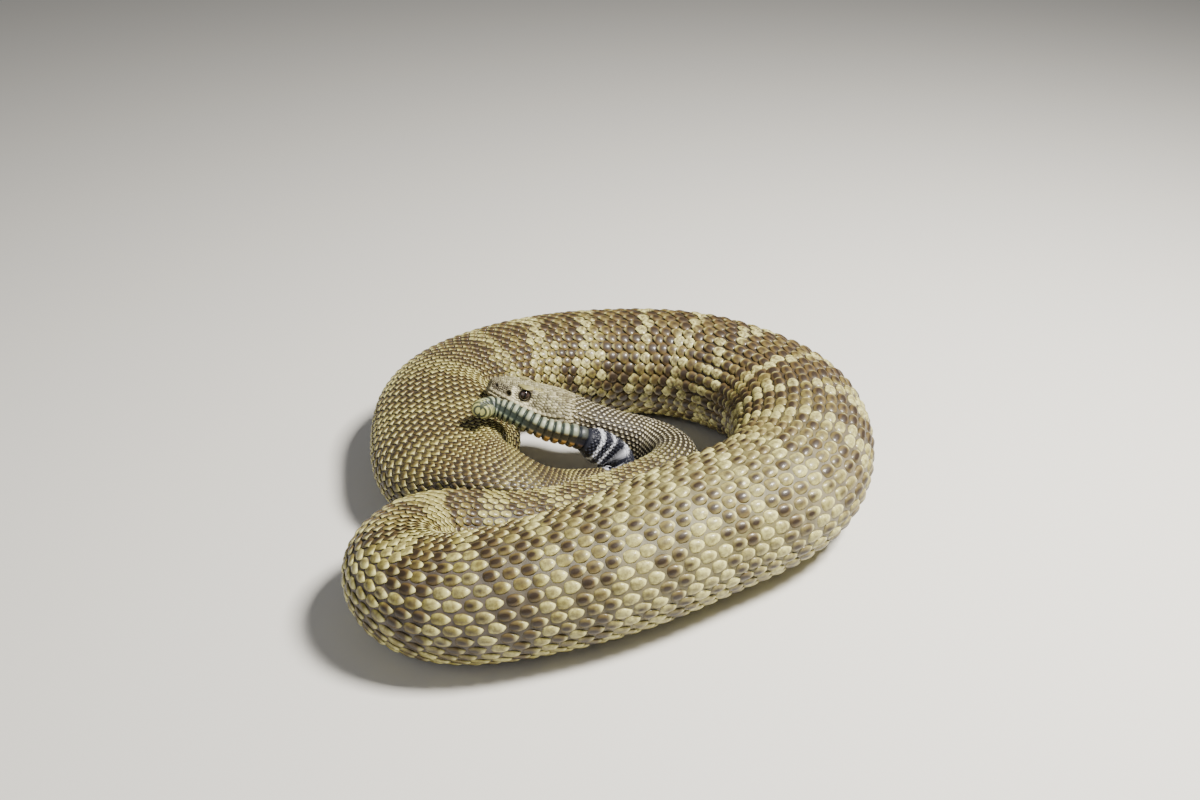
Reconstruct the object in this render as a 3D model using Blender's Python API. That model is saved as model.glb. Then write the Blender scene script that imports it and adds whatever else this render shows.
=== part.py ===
"""Western diamondback rattlesnake at rest in a flat coil, life size, parted into named lengths."""
import math

import bmesh
import bpy
import numpy as np
from mathutils import Matrix, Vector

MM = 0.001

# Middle of the coil's outline, in the millimetres of ROUTE. It becomes the origin.
PLAN_CENTRE = (4.63, 16.97)

# Way of the body from the nape to the root of the rattle: x, y and the belly's clearance, in mm.
ROUTE = (
    (-29, 47, 23.5), (-11, 47, 16), (4, 48, 8.5), (19, 48, 2.5), (31, 38, 0), (30, 20, 0), (17, 4, 0),
    (-5, -13, 0), (-25, -27, 0), (-47, -37, 0), (-68, -40, 0), (-82, -48, 0), (-88, -64, 0),
    (-79, -79, 0), (-62, -84, 0), (-30, -78, 0), (6, -63, 0), (44, -39, 0), (80, -10, 0),
    (95, 29, 0), (91.5, 65, 0), (72, 91, 0), (45, 108, 0), (6, 114, 0), (-33, 109, 0), (-66, 93, 0),
    (-85, 69, 0), (-83, 40, 0), (-73, 12, 0), (-57, 0, 0), (-40, 1, 0), (-22, 8, 0), (-6, 14, 0),
    (4, 22, 1), (4, 28, 7), (-3, 27, 16), (-13, 22.5, 25.5),
)
NAPE_STATION = 1

# Girth along the way: distance from the nape, half width and height, in mm.
GIRTH = (
    (0, 12, 22), (40, 12.5, 27), (70, 14.5, 31), (120, 18, 34), (160, 23, 40), (200, 26.5, 46),
    (270, 29.5, 54), (350, 34, 60), (420, 36, 58), (500, 35.5, 57), (650, 31.5, 54), (700, 34.5, 52),
    (735, 38, 46), (762, 39, 45), (788, 37, 40), (802, 30, 33), (815, 18, 25), (830, 11.5, 21),
    (860, 9.2, 18.5), (880, 8, 16.5), (905, 6.2, 12.4),
)
GIRTH_BLEND = 12.0
BLEND_SAMPLES = 9
BLEND_FALL = 0.9

CURVE_SAMPLES = 6000
STATION_STEP = 2.0
EASE_STATIONS = 4
RING_STEP = 6.5
RING_POINTS = 26
BELLY_SINK = 0.08
FLANK_SQUARENESS = 7.0
TIGHTEST_INNER = 0.88
FREE_ROOM = 1.6
SAME_STRETCH = 70.0
BESIDE_SPREAD = 0.35
BESIDE_SLACK = 2.0
TINY = 1e-6
GAP = 0.3
SIDE_GAP = 0.5

NECK_END = 78.0
VENT = 838.0
BODY_LENGTHS = 10

# Head: distance back from the snout, half width, height above and depth below the mouth, in mm.
HEAD_PROFILE = (
    (0.0, 3.4, 3.0, 1.6), (1.6, 5.6, 5.2, 2.9), (4.5, 7.4, 7.0, 3.9), (8.5, 8.8, 8.2, 4.8),
    (13, 9.9, 9.0, 5.7), (19, 11.2, 9.8, 7.0), (25, 13.2, 10.4, 8.4), (31, 16.0, 11.0, 9.6),
    (37, 18.2, 11.5, 10.4), (42, 18.8, 11.6, 10.8), (48, 16.8, 11.3, 11.0), (55, 12.5, 11.0, 11.0),
)
HEAD_LENGTH = 55.0
HEAD_ROWS = 26
ROW_CROWDING = 1.25
NAPE_BLEND_FROM = 20.0
NAPE_BLEND_EASE = 1.3
HEAD_ROLL = 15.0
HEAD_PITCH = 23.0
HEAD_YAW = 180.0
# Half outline of the snout and of the nape from crown to chin, in shares of width and height.
SNOUT_OUTLINE = (
    (0.0, 1.0), (0.38, 0.99), (0.72, 0.92), (0.86, 0.55), (0.97, 0.16), (1.0, -0.06),
    (0.93, -0.42), (0.66, -0.86), (0.3, -1.0), (0.0, -1.0),
)
NAPE_OUTLINE = tuple(
    (math.sin(math.radians(turn)), math.cos(math.radians(turn))) for turn in range(0, 181, 20)
)
SIDE_POINTS = 14

MOUTH_LINE = ((-3, 0.5), (3, 0.4), (9, -0.4), (18, -1.3), (28, -1.0), (35, 0.8), (39, 2.6))
JAW_ANGLE = 40.5
JAW_REACH = 25.0

EYE_BACK = 18.2
EYE_SIDE = 8.1
EYE_RISE = 5.3
EYE_RADIUS = 3.2
LID_SIZE = (4.6, 2.2, 4.1)
SOCKET_RADIUS = EYE_RADIUS + GAP
BROW_SIZE = (7.2, 3.2, 1.3)
BROW_PLACE = (17.8, 8.2, 8.7)
NOSTRIL_PLACE = (3.6, 6.2, 4.4)
NOSTRIL_RADIUS = 0.75
PIT_PLACE = (10.5, 8.9, 3.2)
PIT_RADIUS = 1.15
BALL_SEGMENTS = 20
HOLE_SEGMENTS = 10

# Rattle: its middle line on from the end of the tail, half height and half width at both ends, in mm,
# the share by which its last ring is shorter than its first, and its turn about its middle line at the tip.
RATTLE_LINE = ((-31, 19.5, 41.2), (-45, 22.5, 47.2), (-57.5, 24, 51), (-61.5, 14, 54.6))
RATTLE_LEAD = 6.0
RATTLE_SEGMENTS = 17
RATTLE_ROOT = (6.1, 4.9)
RATTLE_TIP = (4.9, 4.2)
RATTLE_SHRINK = 0.42
RATTLE_TWIST = -75.0
SEGMENT_PROFILE = ((0.0, 0.84), (0.28, 1.0), (0.72, 0.95))
RATTLE_POINTS = 16
LOBE_GROOVE = 0.13
GROOVE_SPREAD = 0.08
BUTTON_PITCHES = 0.8
BUTTON_ROUND = ((0.35, 0.86), (0.62, 0.55))


def clear_scene():
    """Take out every object that the scene starts with."""
    for item in list(bpy.data.objects):
        bpy.data.objects.remove(item, do_unlink=True)


def make_material(name, colour, roughness, metallic=0.0):
    """A plain finish for one kind of surface."""
    material = bpy.data.materials.new(name)
    material.use_nodes = True
    shader = material.node_tree.nodes["Principled BSDF"]
    shader.inputs["Base Color"].default_value = (*colour, 1.0)
    shader.inputs["Roughness"].default_value = roughness
    shader.inputs["Metallic"].default_value = metallic
    return material


def add_object(name, mesh_build, material):
    """One object from a bmesh in millimetres, with its finish, shaded smooth."""
    bmesh.ops.scale(mesh_build, vec=(MM, MM, MM), verts=mesh_build.verts)
    bmesh.ops.recalc_face_normals(mesh_build, faces=mesh_build.faces)
    mesh = bpy.data.meshes.new(name)
    mesh_build.to_mesh(mesh)
    mesh_build.free()
    mesh.materials.append(material)
    mesh.shade_smooth()
    piece = bpy.data.objects.new(name, mesh)
    bpy.context.scene.collection.objects.link(piece)
    return piece


def smooth_curve(points):
    """Natural cubic spline through the points, read at any distance along their chords."""
    knots = np.asarray(points, dtype=float)
    chord = np.linalg.norm(np.diff(knots[:, :2], axis=0), axis=1)
    place = np.concatenate([[0.0], np.cumsum(chord)])
    count = len(knots)
    system = np.eye(count)
    pull = np.zeros_like(knots)
    for i in range(1, count - 1):
        system[i, i - 1:i + 2] = (chord[i - 1], 2 * (chord[i - 1] + chord[i]), chord[i])
        pull[i] = 6 * ((knots[i + 1] - knots[i]) / chord[i] - (knots[i] - knots[i - 1]) / chord[i - 1])
    bend = np.linalg.solve(system, pull)

    def read(at):
        i = np.clip(np.searchsorted(place, at) - 1, 0, count - 2)
        past = (at - place[i])[:, None]
        left = (place[i + 1] - at)[:, None]
        span = chord[i][:, None]
        curved = (bend[i] * left ** 3 + bend[i + 1] * past ** 3) / (6 * span)
        straight = (knots[i] / span - bend[i] * span / 6) * left
        return curved + straight + (knots[i + 1] / span - bend[i + 1] * span / 6) * past

    return read, place


def even_stations(points, first, step):
    """Stations one step apart along the curve, from the point of number first to its end."""
    read, place = smooth_curve(points)
    fine = np.linspace(place[first], place[-1], CURVE_SAMPLES)
    dense = read(fine)
    run = np.concatenate([[0.0], np.cumsum(np.linalg.norm(np.diff(dense[:, :2], axis=0), axis=1))])
    count = int(round(run[-1] / step))
    distance = np.linspace(0.0, run[-1], count + 1)
    return distance, np.stack([np.interp(distance, run, dense[:, k]) for k in range(dense.shape[1])], 1)


def read_girth(distance):
    """Half width and height at each distance, with the table's corners rounded off."""
    table = np.array(GIRTH, dtype=float)
    samples = np.linspace(-1.0, 1.0, BLEND_SAMPLES)
    weights = 1.0 - np.abs(samples) * BLEND_FALL
    sizes = []
    for column in (1, 2):
        shifted = [np.interp(distance + GIRTH_BLEND * k, table[:, 0], table[:, column]) for k in samples]
        sizes.append(np.average(shifted, axis=0, weights=weights))
    return sizes


def narrowest_nearby(values, reach):
    """Each value eased down to the least one within reach, without a step."""
    padded = np.pad(values, reach, mode="edge")
    count = len(values)
    least = np.min([padded[k:k + count] for k in range(2 * reach + 1)], axis=0)
    padded = np.pad(least, reach, mode="edge")
    ease = np.mean([padded[k:k + count] for k in range(2 * reach + 1)], axis=0)
    return np.minimum(ease, values)


def room_beside(distance, centre, half_width):
    """Half width to the left and right: less inside a bend and where stretches press together."""
    along = np.gradient(centre[:, :2], distance, axis=0)
    along /= np.linalg.norm(along, axis=1)[:, None]
    left = np.stack([-along[:, 1], along[:, 0]], axis=1)
    turn = (np.gradient(along, distance, axis=0) * left).sum(axis=1)
    inner = TIGHTEST_INNER / np.maximum(np.abs(turn), TINY)
    free = FREE_ROOM * half_width
    to_left = np.where(turn > 0, np.minimum(free, inner), free)
    to_right = np.where(turn < 0, np.minimum(free, inner), free)
    for i, here in enumerate(centre[:, :2]):
        offset = centre[:, :2] - here
        apart = np.linalg.norm(offset, axis=1)
        beside = np.abs(offset @ along[i]) < BESIDE_SPREAD * apart + BESIDE_SLACK
        other = np.abs(distance - distance[i]) > SAME_STRETCH
        close = apart < FREE_ROOM * (half_width[i] + half_width)
        for j in np.nonzero(beside & other & close)[0]:
            share = apart[j] * half_width[i] / (half_width[i] + half_width[j]) - SIDE_GAP / 2
            if offset[j] @ left[i] > 0:
                to_left[i] = min(to_left[i], share)
            else:
                to_right[i] = min(to_right[i], share)
    return narrowest_nearby(to_left, EASE_STATIONS), narrowest_nearby(to_right, EASE_STATIONS)


class BodySweep:
    """The body as stations along the route, each read as a ring of points."""

    def __init__(self):
        plan = np.array(ROUTE, dtype=float) - (*PLAN_CENTRE, 0)
        self.distance, centre = even_stations(plan, NAPE_STATION, STATION_STEP)
        self.half_width, height = read_girth(self.distance)
        self.half_height = height / 2
        centre[:, 2] = np.maximum(centre[:, 2], 0.0) + self.half_height
        self.centre = centre
        self.to_left, self.to_right = room_beside(self.distance, centre, self.half_width)
        self.along = np.gradient(centre, self.distance, axis=0)
        self.along[0] = -np.array(head_turn().to_3x3() @ Vector((1, 0, 0)))
        self.length = self.distance[-1]

    def at(self, values, place):
        """One of the station lists read at a distance from the nape."""
        if values.ndim == 1:
            return float(np.interp(place, self.distance, values))
        return np.array([np.interp(place, self.distance, values[:, k]) for k in range(values.shape[1])])

    def frame(self, place):
        """Middle of the body with its forward, left and upward directions."""
        forward = self.at(self.along, place)
        forward /= np.linalg.norm(forward)
        left = np.array([-forward[1], forward[0], 0.0])
        left /= np.linalg.norm(left)
        return self.at(self.centre, place), forward, left, np.cross(forward, left)

    def ring(self, place, shift=0.0):
        """Ring of points round the body, from the back over the left side to the belly."""
        centre, forward, left, up = self.frame(place)
        half_width = self.at(self.half_width, place)
        half_height = self.at(self.half_height, place)
        room = (self.at(self.to_left, place), self.at(self.to_right, place))
        points = []
        for k in range(RING_POINTS):
            turn = 2 * math.pi * k / RING_POINTS
            reach = flattened(half_width * abs(math.sin(turn)), room[math.sin(turn) < 0])
            rise = half_height * math.cos(turn) * (1 + BELLY_SINK * (math.cos(turn) < 0))
            point = centre + forward * shift + left * math.copysign(reach, math.sin(turn)) + up * rise
            point[2] = max(point[2], 0.0)
            points.append(point)
        return points


def flattened(reach, room):
    """Reach of the flank, pressed flat where it comes near the room it has."""
    if reach < TINY:
        return reach
    return (reach ** -FLANK_SQUARENESS + room ** -FLANK_SQUARENESS) ** (-1 / FLANK_SQUARENESS)


def loft(rings):
    """Closed body through rings of equal point counts, with a flat face at each end."""
    build = bmesh.new()
    rows = [[build.verts.new(point) for point in ring] for ring in rings]
    count = len(rows[0])
    for near, far in zip(rows, rows[1:]):
        for k in range(count):
            build.faces.new((near[k], near[(k + 1) % count], far[(k + 1) % count], far[k]))
    build.faces.new(rows[0])
    build.faces.new(list(reversed(rows[-1])))
    return build


def build_length(sweep, name, start, end, material):
    """One length of the body between two cuts, half a gap short of each."""
    count = max(2, int(math.ceil((end - start) / RING_STEP)))
    rings = []
    for k in range(count + 1):
        place = start + (end - start) * k / count
        shift = GAP / 2 * ((k == 0) - (k == count))
        rings.append(sweep.ring(place, shift))
    return add_object(name, loft(rings), material)


def head_turn():
    """The way the head faces: x runs forward from the nape, y to its left and z up."""
    yaw = Matrix.Rotation(math.radians(HEAD_YAW), 4, "Z")
    pitch = Matrix.Rotation(math.radians(-HEAD_PITCH), 4, "Y")
    roll = Matrix.Rotation(math.radians(HEAD_ROLL), 4, "X")
    return yaw @ pitch @ roll


def head_point(back, side, rise):
    """A point given by its distance back from the snout, to the left and above the mouth."""
    return Vector((HEAD_LENGTH - back, side, rise))


def head_ring(back):
    """Outline of the head at one distance behind the snout."""
    table = np.array(HEAD_PROFILE)
    half_width, above, below = (float(np.interp(back, table[:, 0], table[:, k])) for k in (1, 2, 3))
    toward_nape = max(0.0, (back - NAPE_BLEND_FROM) / (HEAD_LENGTH - NAPE_BLEND_FROM)) ** NAPE_BLEND_EASE
    outline = (1 - toward_nape) * np.array(SNOUT_OUTLINE) + toward_nape * np.array(NAPE_OUTLINE)
    knots = np.linspace(0.0, 1.0, len(outline))
    sides = []
    for k in range(SIDE_POINTS + 1):
        at = k / SIDE_POINTS
        across = float(np.interp(at, knots, outline[:, 0])) * half_width
        share = float(np.interp(at, knots, outline[:, 1]))
        sides.append((across, share * (above if share > 0 else below)))
    left = [head_point(back, across, rise) for across, rise in sides]
    right = [head_point(back, -across, rise) for across, rise in reversed(sides[1:-1])]
    return left + right


def ball(place, radius, stretch=(1.0, 1.0, 1.0), segments=BALL_SEGMENTS):
    """A ball or egg in the head's own millimetres."""
    build = bmesh.new()
    bmesh.ops.create_uvsphere(build, u_segments=segments, v_segments=segments // 2, radius=radius)
    bmesh.ops.scale(build, vec=stretch, verts=build.verts)
    bmesh.ops.translate(build, vec=head_point(*place), verts=build.verts)
    return build


def mouth_prism(margin):
    """Block below the line of the mouth and ahead of the jaw's angle, grown by a margin."""
    line = [(back, rise + margin) for back, rise in MOUTH_LINE]
    line.append((JAW_ANGLE + margin, MOUTH_LINE[-1][1] - 1.0))
    line.append((JAW_ANGLE + margin - 3.0, -JAW_REACH))
    line.append((MOUTH_LINE[0][0], -JAW_REACH))
    build = bmesh.new()
    side = [build.verts.new(head_point(back, -JAW_REACH, rise)) for back, rise in line]
    face = build.faces.new(side)
    grown = bmesh.ops.extrude_face_region(build, geom=[face])
    moved = [item for item in grown["geom"] if isinstance(item, bmesh.types.BMVert)]
    bmesh.ops.translate(build, vec=(0, 2 * JAW_REACH, 0), verts=moved)
    return build


def add_tool(name, build):
    """A cutter or an addition in the head's frame, kept out of the finished model."""
    bmesh.ops.scale(build, vec=(MM, MM, MM), verts=build.verts)
    bmesh.ops.recalc_face_normals(build, faces=build.faces)
    mesh = bpy.data.meshes.new(name)
    build.to_mesh(mesh)
    build.free()
    tool = bpy.data.objects.new(name, mesh)
    tool.hide_render = True
    tool.display_type = "WIRE"
    bpy.context.scene.collection.objects.link(tool)
    return tool


def combine(piece, operation, builds):
    """Join the shapes to the piece or cut them from it, and apply the result."""
    for build in builds:
        tool = add_tool("tool", build)
        step = piece.modifiers.new("shape", "BOOLEAN")
        step.operation = operation
        step.solver = "EXACT"
        step.object = tool
        bpy.context.view_layer.update()
        evaluated = piece.evaluated_get(bpy.context.evaluated_depsgraph_get())
        result = bpy.data.meshes.new_from_object(evaluated)
        piece.modifiers.remove(step)
        old = piece.data
        piece.data = result
        bpy.data.meshes.remove(old)
        bpy.data.objects.remove(tool, do_unlink=True)


def keep_largest(piece):
    """Leave only the largest closed surface of the piece."""
    build = bmesh.new()
    build.from_mesh(piece.data)
    left = set(build.verts)
    shells = []
    while left:
        queue = [left.pop()]
        shell = set(queue)
        while queue:
            vert = queue.pop()
            for edge in vert.link_edges:
                other = edge.other_vert(vert)
                if other in left:
                    left.discard(other)
                    shell.add(other)
                    queue.append(other)
        shells.append(shell)
    largest = max(shells, key=len)
    loose = [vert for vert in build.verts if vert not in largest]
    bmesh.ops.delete(build, geom=loose, context="VERTS")
    build.to_mesh(piece.data)
    build.free()


def place_in_mesh(piece, matrix):
    """Move a piece built in the head's frame to its place in the model."""
    scaled = matrix.copy()
    scaled.translation *= MM
    piece.data.transform(scaled)
    piece.data.shade_smooth()


def both_sides(place):
    """The same place on the left and on the right of the head."""
    back, side, rise = place
    return ((back, side, rise), (back, -side, rise))


def build_head(sweep, skin, eye_finish):
    """Head, lower jaw and eyes, shaped in the head's frame and then set on the nape."""
    placement = Matrix.Translation(Vector(sweep.frame(0.0)[0])) @ head_turn()
    backs = [HEAD_LENGTH * (k / HEAD_ROWS) ** ROW_CROWDING for k in range(HEAD_ROWS + 1)]
    backs[-1] = HEAD_LENGTH - GAP / 2
    head = add_object("head", loft([head_ring(back) for back in backs]), skin)
    jaw = head.copy()
    jaw.data = head.data.copy()
    jaw.name = "lower_jaw"
    bpy.context.scene.collection.objects.link(jaw)

    combine(jaw, "INTERSECT", [mouth_prism(-GAP / 2)])
    combine(head, "DIFFERENCE", [mouth_prism(GAP / 2)])
    eye_places = both_sides((EYE_BACK, EYE_SIDE, EYE_RISE))
    combine(head, "UNION", [ball(place, 1.0, LID_SIZE) for place in eye_places])
    combine(head, "UNION", [ball(place, 1.0, BROW_SIZE) for place in both_sides(BROW_PLACE)])
    combine(head, "DIFFERENCE", [ball(place, SOCKET_RADIUS) for place in eye_places])
    for middle, radius in ((NOSTRIL_PLACE, NOSTRIL_RADIUS), (PIT_PLACE, PIT_RADIUS)):
        holes = [ball(place, radius, segments=HOLE_SEGMENTS) for place in both_sides(middle)]
        combine(head, "DIFFERENCE", holes)
    keep_largest(head)
    keep_largest(jaw)
    place_in_mesh(head, placement)
    place_in_mesh(jaw, placement)

    for name, place in zip(("eye_left", "eye_right"), eye_places):
        eye = add_object(name, ball(place, EYE_RADIUS), eye_finish)
        place_in_mesh(eye, placement)


def rattle_factor(turn):
    """Groove that runs along the middle of each flat side of the rattle."""
    from_side = abs(abs(math.sin(turn)) - 1.0)
    return 1.0 - LOBE_GROOVE * math.exp(-(from_side / GROOVE_SPREAD) ** 2)


def along_rattle(rings):
    """Share of the rattle's length that its first rings take, as they get shorter toward the tip."""
    part = rings / (RATTLE_SEGMENTS + BUTTON_PITCHES)
    return part * (1 - RATTLE_SHRINK * part / 2) / (1 - RATTLE_SHRINK / 2)


def build_rattle(sweep, material):
    """Rattle as one body of rounded rings, each narrower at its neck, ending in a button."""
    line = np.array(RATTLE_LINE, dtype=float) - (*PLAN_CENTRE, 0)
    lead = [sweep.at(sweep.centre, sweep.length - back) for back in (RATTLE_LEAD, 0.0)]
    distance, centre = even_stations(np.concatenate([lead, line]), 1, 1.0)
    along = np.gradient(centre, distance, axis=0)
    along[0] = sweep.frame(sweep.length)[1]
    length = distance[-1]
    first = GAP / 2
    rows = [(k + at, size) for k in range(RATTLE_SEGMENTS) for at, size in SEGMENT_PROFILE]
    rows.append((RATTLE_SEGMENTS, SEGMENT_PROFILE[0][1]))
    rows += [(RATTLE_SEGMENTS + at, size) for at, size in BUTTON_ROUND]
    rings = []
    for count, size in rows:
        share = along_rattle(count)
        place = first + (length - first) * share
        forward = np.array([np.interp(place, distance, along[:, k]) for k in range(3)])
        forward /= np.linalg.norm(forward)
        left = np.array([-forward[1], forward[0], 0.0])
        left /= np.linalg.norm(left)
        up = np.cross(forward, left)
        roll = math.radians(RATTLE_TWIST) * share ** 2
        left, up = left * math.cos(roll) - up * math.sin(roll), up * math.cos(roll) + left * math.sin(roll)
        middle = np.array([np.interp(place, distance, centre[:, k]) for k in range(3)])
        tall = RATTLE_ROOT[0] + (RATTLE_TIP[0] - RATTLE_ROOT[0]) * share
        wide = RATTLE_ROOT[1] + (RATTLE_TIP[1] - RATTLE_ROOT[1]) * share
        ring = []
        for k in range(RATTLE_POINTS):
            turn = 2 * math.pi * k / RATTLE_POINTS
            lobe = size * rattle_factor(turn)
            ring.append(middle + left * (wide * lobe * math.sin(turn)) + up * (tall * lobe * math.cos(turn)))
        rings.append(ring)
    add_object("rattle", loft(rings), material)


def main():
    clear_scene()
    skin = make_material("scaled_skin", (0.36, 0.29, 0.17), 0.5)
    head_skin = make_material("head_skin", (0.33, 0.30, 0.20), 0.55)
    tail_skin = make_material("tail_skin", (0.05, 0.05, 0.06), 0.5)
    eye_finish = make_material("eye_gloss", (0.03, 0.02, 0.025), 0.12)
    horn = make_material("rattle_horn", (0.36, 0.35, 0.20), 0.4)

    sweep = BodySweep()
    build_head(sweep, head_skin, eye_finish)
    build_length(sweep, "neck", 0.0, NECK_END, skin)
    step = (VENT - NECK_END) / BODY_LENGTHS
    for k in range(BODY_LENGTHS):
        start = NECK_END + step * k
        build_length(sweep, f"body_{k + 1}", start, start + step, skin)
    build_length(sweep, "tail", VENT, sweep.length, tail_skin)
    build_rattle(sweep, horn)


main()
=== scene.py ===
"""Looks of a western diamondback rattlesnake at rest: skin, scales, head, eyes, rattle and stage."""
import functools
import math

import bmesh
import bpy
import numpy as np
from mathutils import Matrix, Vector


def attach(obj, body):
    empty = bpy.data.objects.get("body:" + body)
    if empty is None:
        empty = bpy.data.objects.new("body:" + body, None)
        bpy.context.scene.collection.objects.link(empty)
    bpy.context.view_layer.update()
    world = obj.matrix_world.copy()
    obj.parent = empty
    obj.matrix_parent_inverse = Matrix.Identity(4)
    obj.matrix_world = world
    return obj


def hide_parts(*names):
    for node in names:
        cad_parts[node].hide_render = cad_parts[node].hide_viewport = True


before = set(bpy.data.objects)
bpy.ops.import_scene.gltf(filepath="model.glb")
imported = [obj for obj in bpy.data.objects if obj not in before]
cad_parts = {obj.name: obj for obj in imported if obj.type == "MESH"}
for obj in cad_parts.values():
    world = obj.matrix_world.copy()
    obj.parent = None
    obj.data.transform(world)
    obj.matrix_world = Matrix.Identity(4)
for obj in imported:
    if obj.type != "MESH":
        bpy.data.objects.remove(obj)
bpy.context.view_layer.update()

bl_info = {
    "name": "Rattlesnake Dresser",
    "version": (1, 0, 0),
    "blender": (4, 5, 0),
    "location": "3D View > Sidebar > Rattlesnake",
    "description": "Dresses the rattlesnake's solids with skin, scales, eyes, rattle and a stage",
    "category": "Object",
}

MM = 0.001

# Way and girth of the solids, in millimetres, so that the skin follows them. The way is a line of
# places on the floor with the height of the belly; a girth is distance, half width and height.
PLAN_CENTRE = (4.63, 16.97)
ROUTE = (
    (-29, 47, 23.5), (-11, 47, 16), (4, 48, 8.5), (19, 48, 2.5), (31, 38, 0), (30, 20, 0), (17, 4, 0),
    (-5, -13, 0), (-25, -27, 0), (-47, -37, 0), (-68, -40, 0), (-82, -48, 0), (-88, -64, 0),
    (-79, -79, 0), (-62, -84, 0), (-30, -78, 0), (6, -63, 0), (44, -39, 0), (80, -10, 0),
    (95, 29, 0), (91.5, 65, 0), (72, 91, 0), (45, 108, 0), (6, 114, 0), (-33, 109, 0), (-66, 93, 0),
    (-85, 69, 0), (-83, 40, 0), (-73, 12, 0), (-57, 0, 0), (-40, 1, 0), (-22, 8, 0), (-6, 14, 0),
    (4, 22, 1), (4, 28, 7), (-3, 27, 16), (-13, 22.5, 25.5),
)
NAPE_STATION = 1
GIRTH = (
    (0, 12, 22), (40, 12.5, 27), (70, 14.5, 31), (120, 18, 34), (160, 23, 40), (200, 26.5, 46),
    (270, 29.5, 54), (350, 34, 60), (420, 36, 58), (500, 35.5, 57), (650, 31.5, 54), (700, 34.5, 52),
    (735, 38, 46), (762, 39, 45), (788, 37, 40), (802, 30, 33), (815, 18, 25), (830, 11.5, 21),
    (860, 9.2, 18.5), (880, 8, 16.5), (905, 6.2, 12.4),
)

# How the tables are smoothed, and the room that each length keeps to itself and its neighbours.
GIRTH_BLEND = 12.0
BLEND_SAMPLES = 9
BLEND_FALL = 0.9
CURVE_SAMPLES = 6000
STATION_STEP = 2.0
EASE_STATIONS = 4
BELLY_SINK = 0.08
FLANK_SQUARENESS = 7.0
TIGHTEST_INNER = 0.88
FREE_ROOM = 1.6
SAME_STRETCH = 70.0
BESIDE_SPREAD = 0.35
BESIDE_SLACK = 2.0
TINY = 1e-6
SIDE_GAP = 0.5

# Tail: its start, the end and spacing of its rings, and how it narrows to meet the rattle.
VENT = 838.0
RING_START = 876.2
RING_PITCH = 5.4
TAIL_END = 9.0
TAIL_NARROWING = 0.3

# Head: distance back from the snout, half width, height above and depth below the mouth.
HEAD_PROFILE = (
    (0.0, 3.4, 3.0, 1.6), (1.6, 5.6, 5.2, 2.9), (4.5, 7.4, 7.0, 3.9), (8.5, 8.8, 8.2, 4.8),
    (13, 9.9, 9.0, 5.7), (19, 11.2, 9.8, 7.0), (25, 13.2, 10.4, 8.4), (31, 16.0, 11.0, 9.6),
    (37, 18.2, 11.5, 10.4), (42, 18.8, 11.6, 10.8), (48, 16.8, 11.3, 11.0), (55, 12.5, 11.0, 11.0),
)
HEAD_LENGTH = 55.0
HEAD_BLEND = 1.6
HEAD_SAMPLES = 7
NAPE_BLEND_FROM = 20.0
NAPE_BLEND_EASE = 1.3
NAPE_STEP_FROM = 40.0
HEAD_ROLL = 15.0
HEAD_PITCH = 23.0
HEAD_YAW = 180.0
SNOUT_OUTLINE = (
    (0.0, 1.0), (0.38, 0.99), (0.72, 0.92), (0.86, 0.55), (0.97, 0.16), (1.0, -0.06),
    (0.93, -0.42), (0.66, -0.86), (0.3, -1.0), (0.0, -1.0),
)
NAPE_OUTLINE = tuple(
    (math.sin(math.radians(turn)), math.cos(math.radians(turn))) for turn in range(0, 181, 20)
)
OUTLINE_SAMPLES = 241
OUTLINE_SPREAD = 0.07
MOUTH_LINE = ((-3, 0.5), (3, 0.4), (9, -0.4), (18, -1.3), (28, -1.0), (35, 0.8), (39, 2.6))
MOUTH_BLEND = 1.5
MOUTH_END = (38.0, 41.0)

# Places on the head, in millimetres: back from the snout, out to the side, and rise.
EYE_PLACE = (18.2, 8.1, 5.3)
EYE_RADIUS = 3.2
EYE_FIT = 0.99
EYE_OPENING = (2.95, 2.6)
SOCKET_DEPTH = 1.9
LID_OUT = 2.15
SIDE_FROM = 4.0
PUPIL = (0.17, 0.66)
PUPIL_BLACK = (0.004, 0.004, 0.005)
# EYE_EDGE_SHADE is painted shade on the eyeball's edge, next to the lids.
EYE_EDGE_SHADE = (0.01, 0.008, 0.008)
BROW_PLACE = (17.8, 8.2, 8.7)
BROW_PUSH = (1.15, 0.35)
SHIELD_PLACE = (17.8, 9.2, 9.3)
SHIELD_SIZE = (8.8, 3.9)
SHIELD_CLEAR = (4.2, 2.0)
SHIELD_LOW = 8.2

# Nostril and heat pit: place, radius, depth, and where the painted shade round it fades.
HOLES = (
    ((3.6, 6.2, 4.4), 0.75, 1.5, (0.7, 1.6)),
    ((10.5, 8.9, 3.2), 1.15, 2.2, (0.9, 1.9)),
)

# Relief of the head: height, then middle and width of the swelling. The lips are read above the line
# of the mouth, the cheek by distance back and above that line, the muzzle by distance back and side.
LIP_RELIEF = ((-0.75, (0.0, 0.34)), (0.28, (1.1, 0.8)), (0.2, (-1.0, 0.8)))
CHEEK_RELIEF = (0.5, (33.0, 6.0), (3.6, 2.4))
MUZZLE_RELIEF = ((0.35, (12.0, 5.0), (5.6, 1.3)), (-0.45, (11.0, 6.0), (0.0, 3.0)))
MUZZLE_RISE = 4.0

# Rattle: its middle line past the tail, then half height and half width at its root and tip.
RATTLE_LINE = ((-31, 19.5, 41.2), (-45, 22.5, 47.2), (-57.5, 24, 51), (-61.5, 14, 54.6))
RATTLE_LEAD = 6.0
RATTLE_SEGMENTS = 17
RATTLE_ROOT = (6.1, 4.9)
RATTLE_TIP = (4.9, 4.2)
RATTLE_SHRINK = 0.42
RATTLE_TWIST = -75.0
RATTLE_COLUMNS = 65
BUTTON_PITCHES = 0.8

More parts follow.
